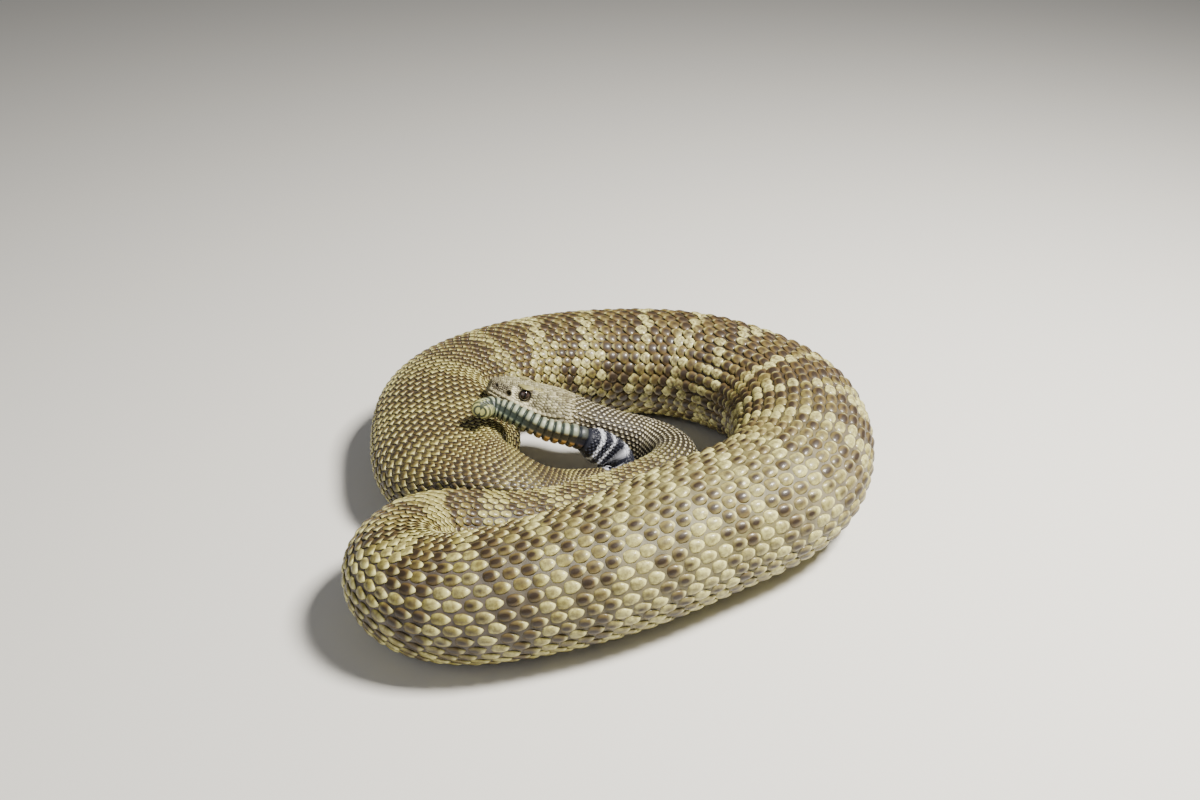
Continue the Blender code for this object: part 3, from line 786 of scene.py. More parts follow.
class Graph:
    """Short calls that build a node tree."""

    def __init__(self, tree):
        self.tree = tree

    def put(self, socket, value):
        """Link a socket to another node's output, or set its value."""
        if isinstance(value, bpy.types.NodeSocket):
            self.tree.links.new(value, socket)
        else:
            socket.default_value = value

    def node(self, kind, inputs=None, **settings):
        """A node with its settings and inputs."""
        made = self.tree.nodes.new(kind)
        for key, value in settings.items():
            setattr(made, key, value)
        for key, value in (inputs or {}).items():
            self.put(made.inputs[key], value)
        return made

    def math(self, operation, first, second=0.0, third=0.0):
        """Result of one sum."""
        inputs = {0: first, 1: second, 2: third}
        return self.node("ShaderNodeMath", inputs, operation=operation).outputs[0]

    def plus(self, first, second):
        """Sum of two values."""
        return self.math("ADD", first, second)

    def minus(self, first, second):
        """Difference of two values."""
        return self.math("SUBTRACT", first, second)

    def less(self, value):
        """What is left of one."""
        return self.minus(1.0, value)

    def line(self, value, slope, start):
        """The value times its slope, from a start."""
        return self.math("MULTIPLY_ADD", value, slope, start)

    def both(self, *values):
        """Product of masks."""
        result = values[0]
        for value in values[1:]:
            result = self.math("MULTIPLY", result, value)
        return result

    def most(self, first, second):
        """The greater of two masks."""
        return self.math("MAXIMUM", first, second)

    def rise(self, value, low, high):
        """Smooth step from 0 at low to 1 at high."""
        inputs = {"Value": value, "From Min": low, "From Max": high}
        made = self.node("ShaderNodeMapRange", inputs, interpolation_type="SMOOTHSTEP")
        return made.outputs["Result"]

    def fall(self, value, low, high):
        """Smooth step from 1 at low to 0 at high."""
        return self.less(self.rise(value, low, high))

    def hill(self, value, middle, width):
        """Smooth hill of 1 over its middle, 0 beyond its width."""
        return self.fall(self.math("ABSOLUTE", self.minus(value, middle)), 0.0, width)

    def band(self, value, start, full, fade, end):
        """Band that rises from start to full and falls from fade to end."""
        return self.both(self.rise(value, start, full), self.fall(value, fade, end))

    def blend(self, share, first, second):
        """Colour between two colours."""
        made = self.node("ShaderNodeMix", {0: share}, data_type="RGBA")
        for socket, colour in ((6, first), (7, second)):
            linked = isinstance(colour, bpy.types.NodeSocket)
            self.put(made.inputs[socket], colour if linked else (*colour, 1.0))
        return made.outputs[2]

    def noise(self, vector, scale, detail=2.0, roughness=0.5):
        """Cloudy value near one half."""
        inputs = {"Vector": vector, "Scale": scale, "Detail": detail, "Roughness": roughness}
        return self.node("ShaderNodeTexNoise", inputs).outputs["Fac"]

    def split(self, vector):
        """The three numbers of a vector."""
        return self.node("ShaderNodeSeparateXYZ", {0: vector}).outputs

    def attribute(self, name):
        """An attribute as a vector and as its three numbers."""
        vector = self.node("ShaderNodeAttribute", attribute_name=name).outputs["Vector"]
        return vector, self.split(vector)

    def group(self, tree, **inputs):
        """Outputs of a placed group."""
        return self.node("ShaderNodeGroup", inputs, node_tree=tree).outputs


class Paint:
    """A colour that is built up in layers."""

    def __init__(self, graph, tone):
        self.graph = graph
        self.tone = tone

    def coat(self, colour, *masks):
        """One more layer, as strong as the product of its masks."""
        self.tone = self.graph.blend(self.graph.both(*masks), self.tone, colour)


def start_group(name, inputs, outputs):
    """An empty shader group with named sockets."""
    tree = bpy.data.node_groups.new(name, "ShaderNodeTree")
    for way, sockets in (("INPUT", inputs), ("OUTPUT", outputs)):
        for label, kind in sockets:
            tree.interface.new_socket(name=label, in_out=way, socket_type=kind)
    graph = Graph(tree)
    return graph, graph.node("NodeGroupInput").outputs, graph.node("NodeGroupOutput").inputs


def marking_group():
    """Masks of the diamonds, their borders and the tail's rings, from the place on the body."""
    name = "snake_markings"
    if name in bpy.data.node_groups:
        return bpy.data.node_groups[name]
    masks = ("Dark", "Pale", "Inside", "Flank", "Ring", "Tail", "Light", "Neck")
    graph, given, result = start_group(
        name, [("Place", "NodeSocketVector")], [(mask, "NodeSocketFloat") for mask in masks])
    along, across, chance = graph.split(given["Place"])
    side = graph.math("DIVIDE", graph.math("ABSOLUTE", across), DORSAL_SHARE)
    sway = graph.noise(given["Place"], 0.045, 1.0)
    beat = graph.math("DIVIDE", along, bpy.context.scene.snake_sizes.blotch_pitch)
    beat = graph.math("FRACT", graph.plus(beat, graph.both(sway, 0.8)))
    away = graph.math("ABSOLUTE", graph.line(beat, 2.0, -1.0))
    jitter = graph.both(graph.minus(chance, 0.5), 0.34)
    diamond = graph.plus(graph.plus(away, graph.both(side, 0.62)), jitter)
    dark = graph.band(diamond, 0.36, 0.48, 0.72, 0.82)
    spots = graph.both(graph.hill(side, 0.70, 0.2), graph.rise(away, 0.62, 0.80))
    dark = graph.most(dark, graph.both(spots, 0.9))
    speck = graph.math("GREATER_THAN", graph.math("FRACT", graph.both(chance, 7.31)), 0.90)
    dark = graph.most(dark, graph.both(speck, 0.5))

    tail = graph.rise(along, *TAIL_FADE)
    neck = graph.fall(along, *NECK_FADE)
    off_ends = graph.both(graph.less(tail), graph.less(neck))
    ragged = graph.noise(given["Place"], 0.9, 2.0, 0.7)
    turns = graph.math("DIVIDE", graph.minus(along, RING_START), RING_PITCH)
    turns = graph.line(graph.minus(ragged, 0.5), 0.7, turns)
    ring = graph.both(graph.hill(graph.math("FRACT", turns), 0.5, 0.30), graph.fall(turns, -0.1, 0.0))
    light = graph.hill(along, *LIGHT_LOOP)
    strong = graph.line(graph.band(along, *STRONG_PALE), 0.55, 0.45)
    plain = graph.line(graph.rise(along, *PLAIN_FADE), -0.65, 1.0)
    values = {
        "Dark": graph.both(dark, off_ends, plain, graph.line(light, -0.45, 1.0)),
        "Pale": graph.both(graph.band(diamond, 0.80, 0.90, 1.06, 1.20), off_ends, plain, strong),
        "Inside": graph.both(graph.fall(diamond, 0.46, 0.60), off_ends),
        "Flank": graph.rise(side, 0.66, 0.98),
        "Ring": graph.both(ring, tail),
        "Tail": tail,
        "Light": light,
        "Neck": neck,
    }
    for label, value in values.items():
        graph.put(result[label], value)
    return graph.tree


def stipple_group():
    """Fine mottling of living skin: one output for colour and one for height."""
    name = "skin_stipple"
    if name in bpy.data.node_groups:
        return bpy.data.node_groups[name]
    graph, given, result = start_group(
        name, [("Vector", "NodeSocketVector"), ("Scale", "NodeSocketFloat")],
        [("Mottle", "NodeSocketFloat"), ("Grain", "NodeSocketFloat")])
    coarse = graph.noise(given["Vector"], given["Scale"], 3.0, 0.6)
    graph.put(result["Mottle"], graph.rise(coarse, 0.35, 0.65))
    graph.put(result["Grain"], graph.noise(given["Vector"], graph.both(given["Scale"], 4.0), 3.0, 0.65))
    return graph.tree


def stippled(graph, fineness):
    """Mottle and grain in the object's own space."""
    where = graph.node("ShaderNodeTexCoord").outputs["Object"]
    return graph.group(stipple_group(), Vector=where, Scale=fineness)


def finish(graph, inputs, relief=()):
    """Fill in the shader's inputs, and its fine relief from height, distance and strength."""
    shader = graph.tree.nodes["Principled BSDF"]
    for key, value in inputs.items():
        graph.put(shader.inputs[key], value)
    if relief:
        bumps = graph.node("ShaderNodeBump", dict(zip(("Height", "Distance", "Strength"), relief)))
        graph.put(shader.inputs["Normal"], bumps.outputs["Normal"])


def finish_back_scales(graph, colours):
    """Scales of the back, flanks and tail."""
    place, (along, _, chance) = graph.attribute("place")
    _, (fore, across, lift) = graph.attribute("leaf")
    shifted = graph.node("ShaderNodeCombineXYZ", {0: graph.both(fore, 1.1)}).outputs[0]
    moved = graph.node("ShaderNodeVectorMath", {0: place, 1: shifted}, operation="ADD").outputs[0]
    marks = graph.group(marking_group(), Place=moved)
    other = graph.math("FRACT", graph.both(chance, 13.7))
    stipple = stippled(graph, 620.0)

    hind = graph.rise(along, *HIND_FADE)
    shade = graph.line(graph.band(along, *SHADED_LOOP), 0.22, 0.22)
    blots = graph.line(hind, 0.28, graph.line(marks["Light"], -0.08, 0.60))
    paint = Paint(graph, colours.straw)
    paint.coat(colours.tan, chance, 0.35)
    paint.coat(colours.olive, marks["Flank"], 0.6)
    paint.coat(colours.cream_and_highlight, marks["Light"], 0.55)
    paint.coat(colours.umber, marks["Inside"], graph.line(other, 0.6, 0.25))
    paint.coat(colours.umber, marks["Dark"], 0.8)
    paint.coat(colours.brown_and_shade, marks["Dark"], 0.45)
    # Painted shade: past HIND_FADE the scales are darkened towards umber, most over SHADED_LOOP.
    paint.coat(colours.umber, hind, graph.less(marks["Pale"]), shade)
    paint.coat(colours.cream_and_highlight, marks["Pale"], 0.8)
    paint.coat(colours.umber, stipple["Mottle"], blots)

    # The dark heart of each scale, and its pale free tip: partly the tip's own paler colour, partly a
    # painted highlight.
    heart = graph.both(graph.hill(across, 0.0, 0.75), graph.hill(fore, -0.22, 0.95))
    depth = graph.line(marks["Dark"], 1.2, 0.55)
    depth = graph.plus(depth, graph.both(marks["Inside"], other, 0.5))
    depth = graph.line(hind, 0.22, depth)
    depth = graph.both(depth, graph.less(graph.both(marks["Pale"], 0.45)))
    paint.coat(colours.brown_and_shade, graph.math("MINIMUM", graph.both(heart, depth), 1.0))
    # Pale free tip, partly a painted highlight.
    plainer = graph.less(graph.both(marks["Dark"], 0.4))
    paint.coat(colours.cream_and_highlight, graph.rise(fore, 0.30, 0.85), plainer, 0.75)

    # The keels of the neck, then painted shade: a painted contact shadow round each scale's rim, and
    # painted shade over its root where the scale before lies on it, on top of the root's own darker colour.
    keel = graph.both(graph.hill(across, 0.0, 0.62), graph.hill(fore, 0.12, 0.85))
    neck = graph.blend(graph.rise(keel, 0.34, 0.68), colours.bark_and_shade, colours.keel)
    paint.coat(neck, marks["Neck"], graph.line(other, 0.15, 0.85))
    # Painted contact shadow round the rim of each scale, except at its free tip.
    paint.coat(colours.bark_and_shade, graph.fall(lift, 0.05, 0.50), graph.fall(fore, 0.45, 0.95), 0.92)
    # Painted shade over the root, under the scale before, on top of the root's own darker colour; deeper
    # from LAST_FADE on.
    root = graph.both(graph.fall(fore, -1.0, -0.5), 0.6)
    last = graph.both(graph.rise(along, *LAST_FADE), graph.less(marks["Tail"]))
    paint.coat(colours.bark_and_shade, graph.most(root, graph.both(graph.fall(fore, -0.5, 0.35), last, 0.8)))
    paint.coat(colours.tail_dark, marks["Tail"])
    paint.coat(colours.tail_pale, marks["Ring"], 0.95)
    gloss = graph.line(stipple["Grain"], 0.20, 0.42)
    finish(graph, {"Base Color": paint.tone, "Roughness": gloss, "Specular IOR Level": 0.32,
                   "Coat Weight": 0.3, "Coat Roughness": 0.16}, (stipple["Grain"], 0.0002, 0.35))


def paint_head(paint, colours, face, mottle):
    """Layers of the head's colour, from the place on it: back from the snout, rise and side, in mm."""
    graph = paint.graph
    back, rise, side = graph.split(face)
    paint.coat(colours.head_dark_and_shade, graph.rise(mottle, 0.70, 0.80), 0.7)
    paint.coat(colours.head_pale, graph.fall(mottle, 0.2, 0.28), 0.35)
    paint.coat(colours.umber, graph.band(back, 30.0, 46.0, 60.0, 61.0), 0.35)

    # The dark bar behind the eye and the pale cheek below it, both sloping down to the back.
    slope = graph.plus(rise, graph.both(graph.minus(back, EYE_PLACE[0]), 0.2))
    bar = graph.both(graph.band(slope, 2.6, 4.2, 6.2, 7.6), graph.band(back, 21.0, 25.0, 36.0, 44.0))
    paint.coat(colours.head_dark_and_shade, bar, 0.42)
    cheek = graph.both(graph.band(slope, -1.4, 0.2, 1.6, 3.2), graph.band(back, 18.0, 22.0, 34.0, 40.0))
    paint.coat(colours.head_pale, cheek, 0.6)

    # The pale patch before the eye and the pale lips, the dark snout, and painted shade in and round the
    # holes.
    patch = graph.both(graph.band(back, 11.0, 12.0, 15.2, 16.0), graph.band(rise, 0.4, 1.6, 6.6, 7.6))
    lip = graph.both(graph.hill(rise, 0.4, 2.4), graph.fall(back, 30.0, 40.0), 0.5)
    paint.coat(colours.head_pale, graph.most(patch, lip))
    patchy = graph.line(graph.rise(mottle, 0.35, 0.60), 0.35, 0.60)
    snout = graph.both(graph.fall(back, 10.2, 11.6), graph.band(rise, 1.6, 2.6, 5.8, 7.6))
    paint.coat(colours.head_dark_and_shade, snout, patchy)
    for (fore, out, high), _, _, fade in HOLES:
        inputs = {0: face, 1: (fore, high, out)}
        away = graph.node("ShaderNodeVectorMath", inputs, operation="DISTANCE").outputs["Value"]
        # Painted shade in and round each hole.
        paint.coat(colours.brown_and_shade, graph.fall(away, *fade), 0.9)

    # The brow, a painted shadow of the brow on the upper lid, the pale lower lid, and painted shade in the
    # socket round the eye.
    brow = graph.both(graph.band(back, 9.0, 12.0, 24.0, 28.0), graph.hill(rise, 10.0, 1.3))
    paint.coat(colours.straw, brow, graph.rise(side, 4.0, 6.5), 0.75)
    lid = graph.both(graph.band(back, 12.6, 14.4, 21.6, 23.4), graph.band(rise, 7.2, 7.9, 8.7, 9.3))
    # Painted shadow of the brow on the upper lid.
    paint.coat(colours.brown_and_shade, lid, graph.rise(side, 4.6, 6.4), 0.95)
    ahead = graph.math("DIVIDE", graph.minus(back, EYE_PLACE[0]), EYE_OPENING[0])
    above = graph.math("DIVIDE", graph.minus(rise, EYE_PLACE[2]), EYE_OPENING[1])
    opening = graph.math("SQRT", graph.plus(graph.both(ahead, ahead), graph.both(above, above)))
    paint.coat(colours.head_pale, graph.hill(opening, 1.5, 0.3), graph.fall(above, -0.6, 0.2), 0.7)
    # Painted shade in the socket round the eye.
    paint.coat(colours.brown_and_shade, graph.fall(opening, 1.05, 1.34), 0.95)


def finish_skin(graph, colours):
    """Soft skin between the scales, and the ground of the head."""
    place, _ = graph.attribute("place")
    face, (back, _, _) = graph.attribute("face")
    _, (tension, _, _) = graph.attribute("tension")
    marks = graph.group(marking_group(), Place=place)
    stipple = stippled(graph, 700.0)
    paint = Paint(graph, colours.bark_and_shade)
    paint.coat(colours.between, graph.rise(tension, 0.8, 1.6), graph.line(marks["Light"], 0.65, 0.35))
    paint.coat(colours.umber, stipple["Mottle"], 0.35)
    paint.coat(colours.tan, marks["Light"], 0.25)
    paint.coat(colours.bark_and_shade, marks["Dark"], 0.55)
    paint.coat(colours.bark_and_shade, marks["Neck"])
    paint.coat(colours.tail_dark, marks["Tail"])
    paint.coat(colours.tail_pale, marks["Ring"], 0.8)
    head = Paint(graph, colours.head)
    paint_head(head, colours, face, stipple["Mottle"])
    head.coat(colours.head_dark_and_shade, 0.45)
    paint.coat(head.tone, graph.fall(back, 44.0, 56.0))
    finish(graph, {"Base Color": paint.tone, "Roughness": 0.5}, (stipple["Grain"], 0.0003, 0.5))


def finish_head_scales(graph, colours):
    """Small scales of the head and the plates of the lips and brows."""
    _, (_, _, chance) = graph.attribute("place")
    face, _ = graph.attribute("face")
    _, (fore, _, lift) = graph.attribute("leaf")
    stipple = stippled(graph, 1500.0)
    paint = Paint(graph, colours.head)
    paint_head(paint, colours, face, chance)
    paint.coat(colours.head_pale, graph.rise(fore, 0.0, 0.9), 0.22)
    # Painted shade round the rim of each head scale.
    paint.coat(colours.head_dark_and_shade, graph.fall(lift, 0.05, 0.55), 0.6)
    gloss = graph.line(stipple["Grain"], 0.2, 0.38)
    finish(graph, {"Base Color": paint.tone, "Roughness": gloss}, (stipple["Grain"], 0.0001, 0.4))


def finish_belly(graph, colours):
    """Wide glossy plates of the belly."""
    _, (along, _, _) = graph.attribute("place")
    _, (fore, _, _) = graph.attribute("leaf")
    stipple = stippled(graph, 300.0)
    paint = Paint(graph, colours.belly)
    paint.coat(colours.straw, stipple["Mottle"], 0.3)
    paint.coat(colours.cream_and_highlight, graph.rise(fore, 0.6, 1.0), 0.4)
    paint.coat(colours.tail_dark, graph.rise(along, *TAIL_FADE))
    finish(graph, {"Base Color": paint.tone, "Roughness": 0.33}, (stipple["Grain"], 0.0002, 0.3))


def finish_eye(graph, colours):
    """Dark iris with a slit pupil under a clear wet surface."""
    _, (fore, _, high) = graph.attribute("look")
    paint = Paint(graph, colours.iris)
    paint.coat(colours.brown_and_shade, stippled(graph, 2500.0)["Mottle"])
    wide = graph.math("DIVIDE", fore, PUPIL[0])
    tall = graph.math("DIVIDE", high, PUPIL[1])
    slit = graph.plus(graph.both(wide, wide), graph.both(tall, tall))
    paint.coat(PUPIL_BLACK, graph.fall(slit, 0.75, 1.15))
    rim = graph.plus(graph.both(fore, fore), graph.both(high, high))
    # Painted shade on the edge of the eyeball, next to the lids.
    paint.coat(EYE_EDGE_SHADE, graph.rise(rim, 0.45, 0.68))
    finish(graph, {"Base Color": paint.tone, "Roughness": 0.08, "Coat Weight": 1.0, "Coat Roughness": 0.03})


def finish_rattle(graph, colours):
    """Dry horn: grey-green rings with dark grooves of painted shade, a painted highlight along the upper
    side, warm below near its base and yellow at the tip.
    """
    _, (share, crest, up) = graph.attribute("ring")
    stipple = stippled(graph, 600.0)
    paint = Paint(graph, colours.horn)
    # Painted highlight along the upper side.
    paint.coat(colours.horn_highlight, graph.rise(up, -0.2, 0.8), 0.6)
    paint.coat(colours.horn_warm, graph.fall(up, 0.05, 0.55), graph.fall(share, 0.28, 0.55), 0.95)
    paint.coat(colours.horn_pale, graph.rise(share, 0.80, 0.97))
    paint.coat(colours.umber, stipple["Mottle"], 0.25)
    # Painted shade in the grooves and along both sides.
    paint.coat(colours.groove, graph.fall(crest, 0.72, 1.0), 0.92)
    paint.coat(colours.tail_dark, graph.fall(share, 0.03, 0.14), 0.85)
    gloss = graph.line(stipple["Grain"], 0.2, 0.30)
    finish(graph, {"Base Color": paint.tone, "Roughness": gloss}, (stipple["Grain"], 0.0002, 0.4))


@functools.cache
def shared_surface():
    """The snake's surface, worked out once for all the pieces."""
    return Surface()


def new_material(name):
    """A plain material with its shader."""
    material = bpy.data.materials.new(name)
    material.use_nodes = True
    return material


def give_material(piece, name, finish_piece):
    """The finish of a piece, made once, added to the piece's materials."""
    material = bpy.data.materials.get(name)
    if material is None:
        material = new_material(name)
        finish_piece(Graph(material.node_tree), bpy.context.scene.snake_colours)
    piece.data.materials.append(material)


def sheet_to_rings(name, points, values):
    """Closed body from a grid bent into rings: its seam is merged and its poles are closed."""
    rows, columns = points.shape[:2]
    build = bmesh.new()
    build.loops.layers.uv.new("OFBake")
    bmesh.ops.create_grid(build, x_segments=columns - 1, y_segments=rows - 1, size=0.5, calc_uvs=True)
    mesh = bpy.data.meshes.new(name)
    build.to_mesh(mesh)
    flat = np.empty(len(mesh.vertices) * 3, dtype=np.float32)
    mesh.vertices.foreach_get("co", flat)
    flat = flat.reshape(-1, 3)
    j = np.rint((flat[:, 0] + 0.5) * (columns - 1)).astype(int)
    i = np.rint((flat[:, 1] + 0.5) * (rows - 1)).astype(int)
    mesh.vertices.foreach_set("co", (points[i, j] * MM).astype(np.float32).ravel())
    for key, table in values.items():
        add_attribute(mesh, key, table[i, j])
    build.clear()
    build.from_mesh(mesh)
    bmesh.ops.remove_doubles(build, verts=build.verts, dist=MERGE)
    bmesh.ops.recalc_face_normals(build, faces=build.faces)
    build.to_mesh(mesh)
    build.free()
    mesh.shade_smooth()
    return mesh


class SNAKE_OT_skin(bpy.types.Operator):
    """Make the one skin of the head, neck, body and tail"""

    bl_idname = "snake.skin"
    bl_label = "Skin"

    def execute(self, context):
        surface = shared_surface()
        end = surface.rows[-1]
        body = np.arange(0.0, end, SKIN_BODY_STEP)
        s = np.concatenate([surface.backs - HEAD_LENGTH, body, [end, end]])
        v = np.linspace(0.0, 1.0, SKIN_COLUMNS + 1)
        grid_s, grid_v = np.meshgrid(s, v, indexing="ij")
        points = surface.read(surface.points, grid_s, grid_v)
        normals = unit(surface.read(surface.normals, grid_s, grid_v))
        points = points - normals * coat_depth(surface, grid_s, grid_v)[..., None]
        points[..., 2] = np.maximum(points[..., 2], SKIN_FLOOR)
        points[0] = points[0].mean(axis=0)
        points[-1] = points[-2].mean(axis=0)
        half = np.full(grid_s.shape, 0.5)
        tension = surface.read(surface.stretch_along, grid_s, grid_v)
        piece = link_piece("skin", sheet_to_rings("skin", points, {
            "place": np.stack([grid_s, side_place(grid_v), half], axis=-1),
            "face": surface.face_place(grid_s, grid_v),
            "tension": np.repeat(tension[..., None], 3, axis=-1),
        }))
        give_material(piece, "soft_skin", finish_skin)
        lengths = [f"body_{k + 1}" for k in range(10)]
        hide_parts("head", "lower_jaw", "neck", *lengths, "tail")
        return {"FINISHED"}


def even_places(fine, pitch, first=0.0):
    """Distances one pitch apart, read from the pitch at fine steps; first is counted in pitches."""
    number = np.concatenate([[0.0], np.cumsum(FINE_STEP / pitch)[:-1]])
    return np.interp(np.arange(first, number[-1], 1.0), number, fine)


def scale_roots(surface, rng):
    """Root of every back scale: distance, place round the body, and distance between rows."""
    fine = np.arange(FIRST_SCALE, surface.length - 1.0, FINE_STEP)
    pitch = surface.pitch(fine)
    places, arounds = [], []
    outer = max(count for _, count in ROW_COUNTS) // 2
    for row in range(-outer, outer + 1):
        s = even_places(fine, pitch, 0.5 * (row % 2))
        v = row * surface.row_share(s)
        on_back = np.abs(v) < DORSAL_SHARE / 2
        places.append(s[on_back])
        arounds.append(v[on_back])
    s = np.concatenate(places)
    v = np.concatenate(arounds)
    gap = surface.row_gap(s)
    s = s + rng.uniform(-0.05, 0.05, len(s)) * gap
    v = v + rng.uniform(-0.05, 0.05, len(s)) * surface.row_share(s)
    order = np.argsort(s)
    return s[order], v[order] % 1.0, gap[order]


class SNAKE_OT_back_scales(bpy.types.Operator):
    """Lay the keeled scales of the neck, body and tail"""

    bl_idname = "snake.back_scales"
    bl_label = "Back scales"

    def execute(self, context):
        surface = shared_surface()
        sizes = context.scene.snake_sizes
        rng = np.random.default_rng(SEED)
        s, v, gap = scale_roots(surface, rng)
        chance = rng.random(len(s))
        stretch = surface.read(surface.stretch_along, s, v)
        spacing = surface.pitch(s) * stretch
        flank = ease(np.abs(side_place(v)), 0.5, 0.78)
        natural = sizes.scale_length * PITCH_PER_ROW * gap * (1 + 0.14 * flank)
        length = natural * np.clip(stretch, 0.35, 1.7) ** 0.55 * rng.uniform(0.95, 1.06, len(s))
        packed = np.clip((length / np.maximum(spacing, TINY) - 1.0) / 0.9, 0.0, 1.0)
        sharp = (packed > SHARP_PACKING) | (s > SHARP_FROM)
        width = sizes.scale_width * gap * (1 + 0.1 * flank + 0.34 * sharp)
        width = width * rng.uniform(0.95, 1.05, len(s))
        dome = sizes.scale_dome * gap * (1 - 0.55 * packed)
        tip = -dome - 0.02 * gap
        root = tip - gap * (0.10 + 0.22 * packed)
        values = (s, v, length, width, root, tip, dome, chance)
        shapes = (round_scale(8, 6, 0.10), round_scale(8, 6, 0.16, SHARP_TIP))
        for k, part in enumerate(np.array_split(np.arange(len(s)), COAT_PIECES)):
            kinds = (part[~sharp[part]], part[sharp[part]])
            coats = [lay_scales(surface, shape, *(value[kind] for value in values))
                     for shape, kind in zip(shapes, kinds) if len(kind)]
            piece = joined_mesh(f"back_scales_{k + 1}", coats)
            give_material(piece, "back_scale", finish_back_scales)
        return {"FINISHED"}


class SNAKE_OT_belly_plates(bpy.types.Operator):
    """Lay the wide plates across the belly"""

    bl_idname = "snake.belly_plates"
    bl_label = "Belly plates"

    def execute(self, context):
        surface = shared_surface()
        rng = np.random.default_rng(SEED + 1)
        fine = np.arange(2.0, surface.length - 1.0, FINE_STEP)
        s = even_places(fine, 0.95 * surface.row_gap(fine))
        v = np.full(len(s), 0.5)
        gap = surface.row_gap(s)
        width = np.interp(s, surface.rows, surface.around) * (1 - DORSAL_SHARE + 0.05)
        coat = lay_scales(surface, belly_plate(), s, v, 1.35 * gap, width, -0.24 * gap, -0.14 * gap,
                          0.10 * gap, rng.random(len(s)))
        piece = joined_mesh("belly_plates", [coat])
        give_material(piece, "belly_plate", finish_belly)
        return {"FINISHED"}


def head_roots(surface, spacing, rng):
    """Roots of the small scales of the head, growing toward the nape, clear of its openings."""
    places, arounds, gaps = [], [], []
    back = 1.2
    while back < HEAD_LENGTH + FIRST_SCALE + 2.0:
        gap = spacing * (1 + 0.95 * ease(back, 6.0, 46.0))
        around = float(np.interp(back - HEAD_LENGTH, surface.rows, surface.around))
        count = max(8, int(round(around / gap)))
        arounds.append((np.arange(count) + 0.5 * (len(places) % 2)) / count)
        places.append(np.full(count, back - HEAD_LENGTH))
        gaps.append(np.full(count, gap))
        back += gap * 0.92
    s, v, gap = (np.concatenate(values) for values in (places, arounds, gaps))
    s = s + rng.uniform(-0.14, 0.14, len(s)) * gap
    v = (v + rng.uniform(-0.12, 0.12, len(s)) * gap / np.interp(s, surface.rows, surface.around)) % 1.0
    back, rise, side = surface.face_place(s, v).T
    above = rise - mouth_rise(back)
    clear = (above > 2.75) | (above < -2.6) | (back > 39.5) | (side < 0.45 * side.max())
    clear &= (eye_opening(back, rise) > 1.28) | (side < 5)
    away = (np.stack([back, side]).T - SHIELD_PLACE[:2]) / SHIELD_CLEAR
    shield = np.hypot(*away.T)
    clear &= (shield > 1) | (rise < SHIELD_LOW)
    for place, radius, _, _ in HOLES:
        away = np.sqrt((back - place[0]) ** 2 + (side - place[1]) ** 2 + (rise - place[2]) ** 2)
        clear &= away > radius + 0.65
    return s[clear], v[clear], gap[clear]


def lip_roots(surface):
    """Roots of the plates along both lips, above and below the line of the mouth."""
    found = []
    for back in np.arange(1.6, 38.6, 2.35):
        row = min(np.searchsorted(surface.backs, back), len(surface.backs) - 1)
        ring = surface.face[row]
        for offset in (1.42, -1.3):
            for hand in (-1, 1):
                miss = np.abs(ring[:, 2] - mouth_rise(back) - offset) + 50.0 * (ring[:, 1] * hand < 0)
                found.append((back - HEAD_LENGTH, surface.places[miss.argmin()]))
    return np.array(found).T


def shield_roots(surface):
    """Middle of the shield over each eye."""
    back, side, rise = SHIELD_PLACE
    ring = surface.face[np.searchsorted(surface.backs, back)]
    found = []
    for hand in (-1, 1):
        miss = np.hypot(ring[:, 1] * hand - side, ring[:, 2] - rise)
        found.append((back - HEAD_LENGTH, surface.places[miss.argmin()]))
    return np.array(found).T


class SNAKE_OT_head_scales(bpy.types.Operator):
    """Lay the small scales of the head and the plates of the lips and brows"""

    bl_idname = "snake.head_scales"
    bl_label = "Head scales"

    def execute(self, context):
        surface = shared_surface()
        rng = np.random.default_rng(SEED + 2)
        s, v, gap = head_roots(surface, context.scene.snake_sizes.head_scale, rng)
        small = lay_scales(surface, round_scale(6, 4, 0.3), s, v, 1.28 * gap, 1.02 * gap,
                           -0.42, -0.22, 0.2, rng.random(len(s)))
        s, v = lip_roots(surface)
        share = 0.72 + 0.28 * ease(s + HEAD_LENGTH, 6.0, 13.0)
        lips = lay_scales(surface, round_scale(8, 8, 0.0), s, v, 2.6 * share, 2.7 * share,
                          -0.45 * share, -0.3 * share, 0.28 * share, rng.random(len(s)))
        shields = lay_scales(surface, round_scale(16, 10, 0.0, 0.1), *shield_roots(surface), *SHIELD_SIZE,
                             -0.25, -0.1, 0.5, 0.5)
        piece = joined_mesh("head_scales", [small, lips, shields])
        give_material(piece, "head_scale", finish_head_scales)
        return {"FINISHED"}


class SNAKE_OT_eyes(bpy.types.Operator):
    """Set both eyeballs in their sockets"""

    bl_idname = "snake.eyes"
    bl_label = "Eyes"

    def execute(self, context):
        surface = shared_surface()
        back, side, rise = EYE_PLACE
        upright = Matrix.Rotation(math.radians(90), 3, "X")
        for hand, side_name in ((1, "left"), (-1, "right")):
            centre = surface.in_place(np.array([back, side * hand, rise]))
            build = bmesh.new()
            bmesh.ops.create_uvsphere(build, u_segments=48, v_segments=32, radius=1.0)
            bmesh.ops.rotate(build, verts=build.verts, cent=(0, 0, 0), matrix=upright)
            look = np.array([vert.co for vert in build.verts])
            mesh = bpy.data.meshes.new(f"eyeball_{side_name}")
            build.to_mesh(mesh)
            build.free()
            points = (look * EYE_RADIUS * EYE_FIT) @ head_turn().T + centre
            mesh.vertices.foreach_set("co", (points * MM).astype(np.float32).ravel())
            add_attribute(mesh, "look", look)
            mesh.shade_smooth()
            piece = link_piece(f"eyeball_{side_name}", mesh)
            give_material(piece, "wet_eye", finish_eye)
            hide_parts(f"eye_{side_name}")
        return {"FINISHED"}


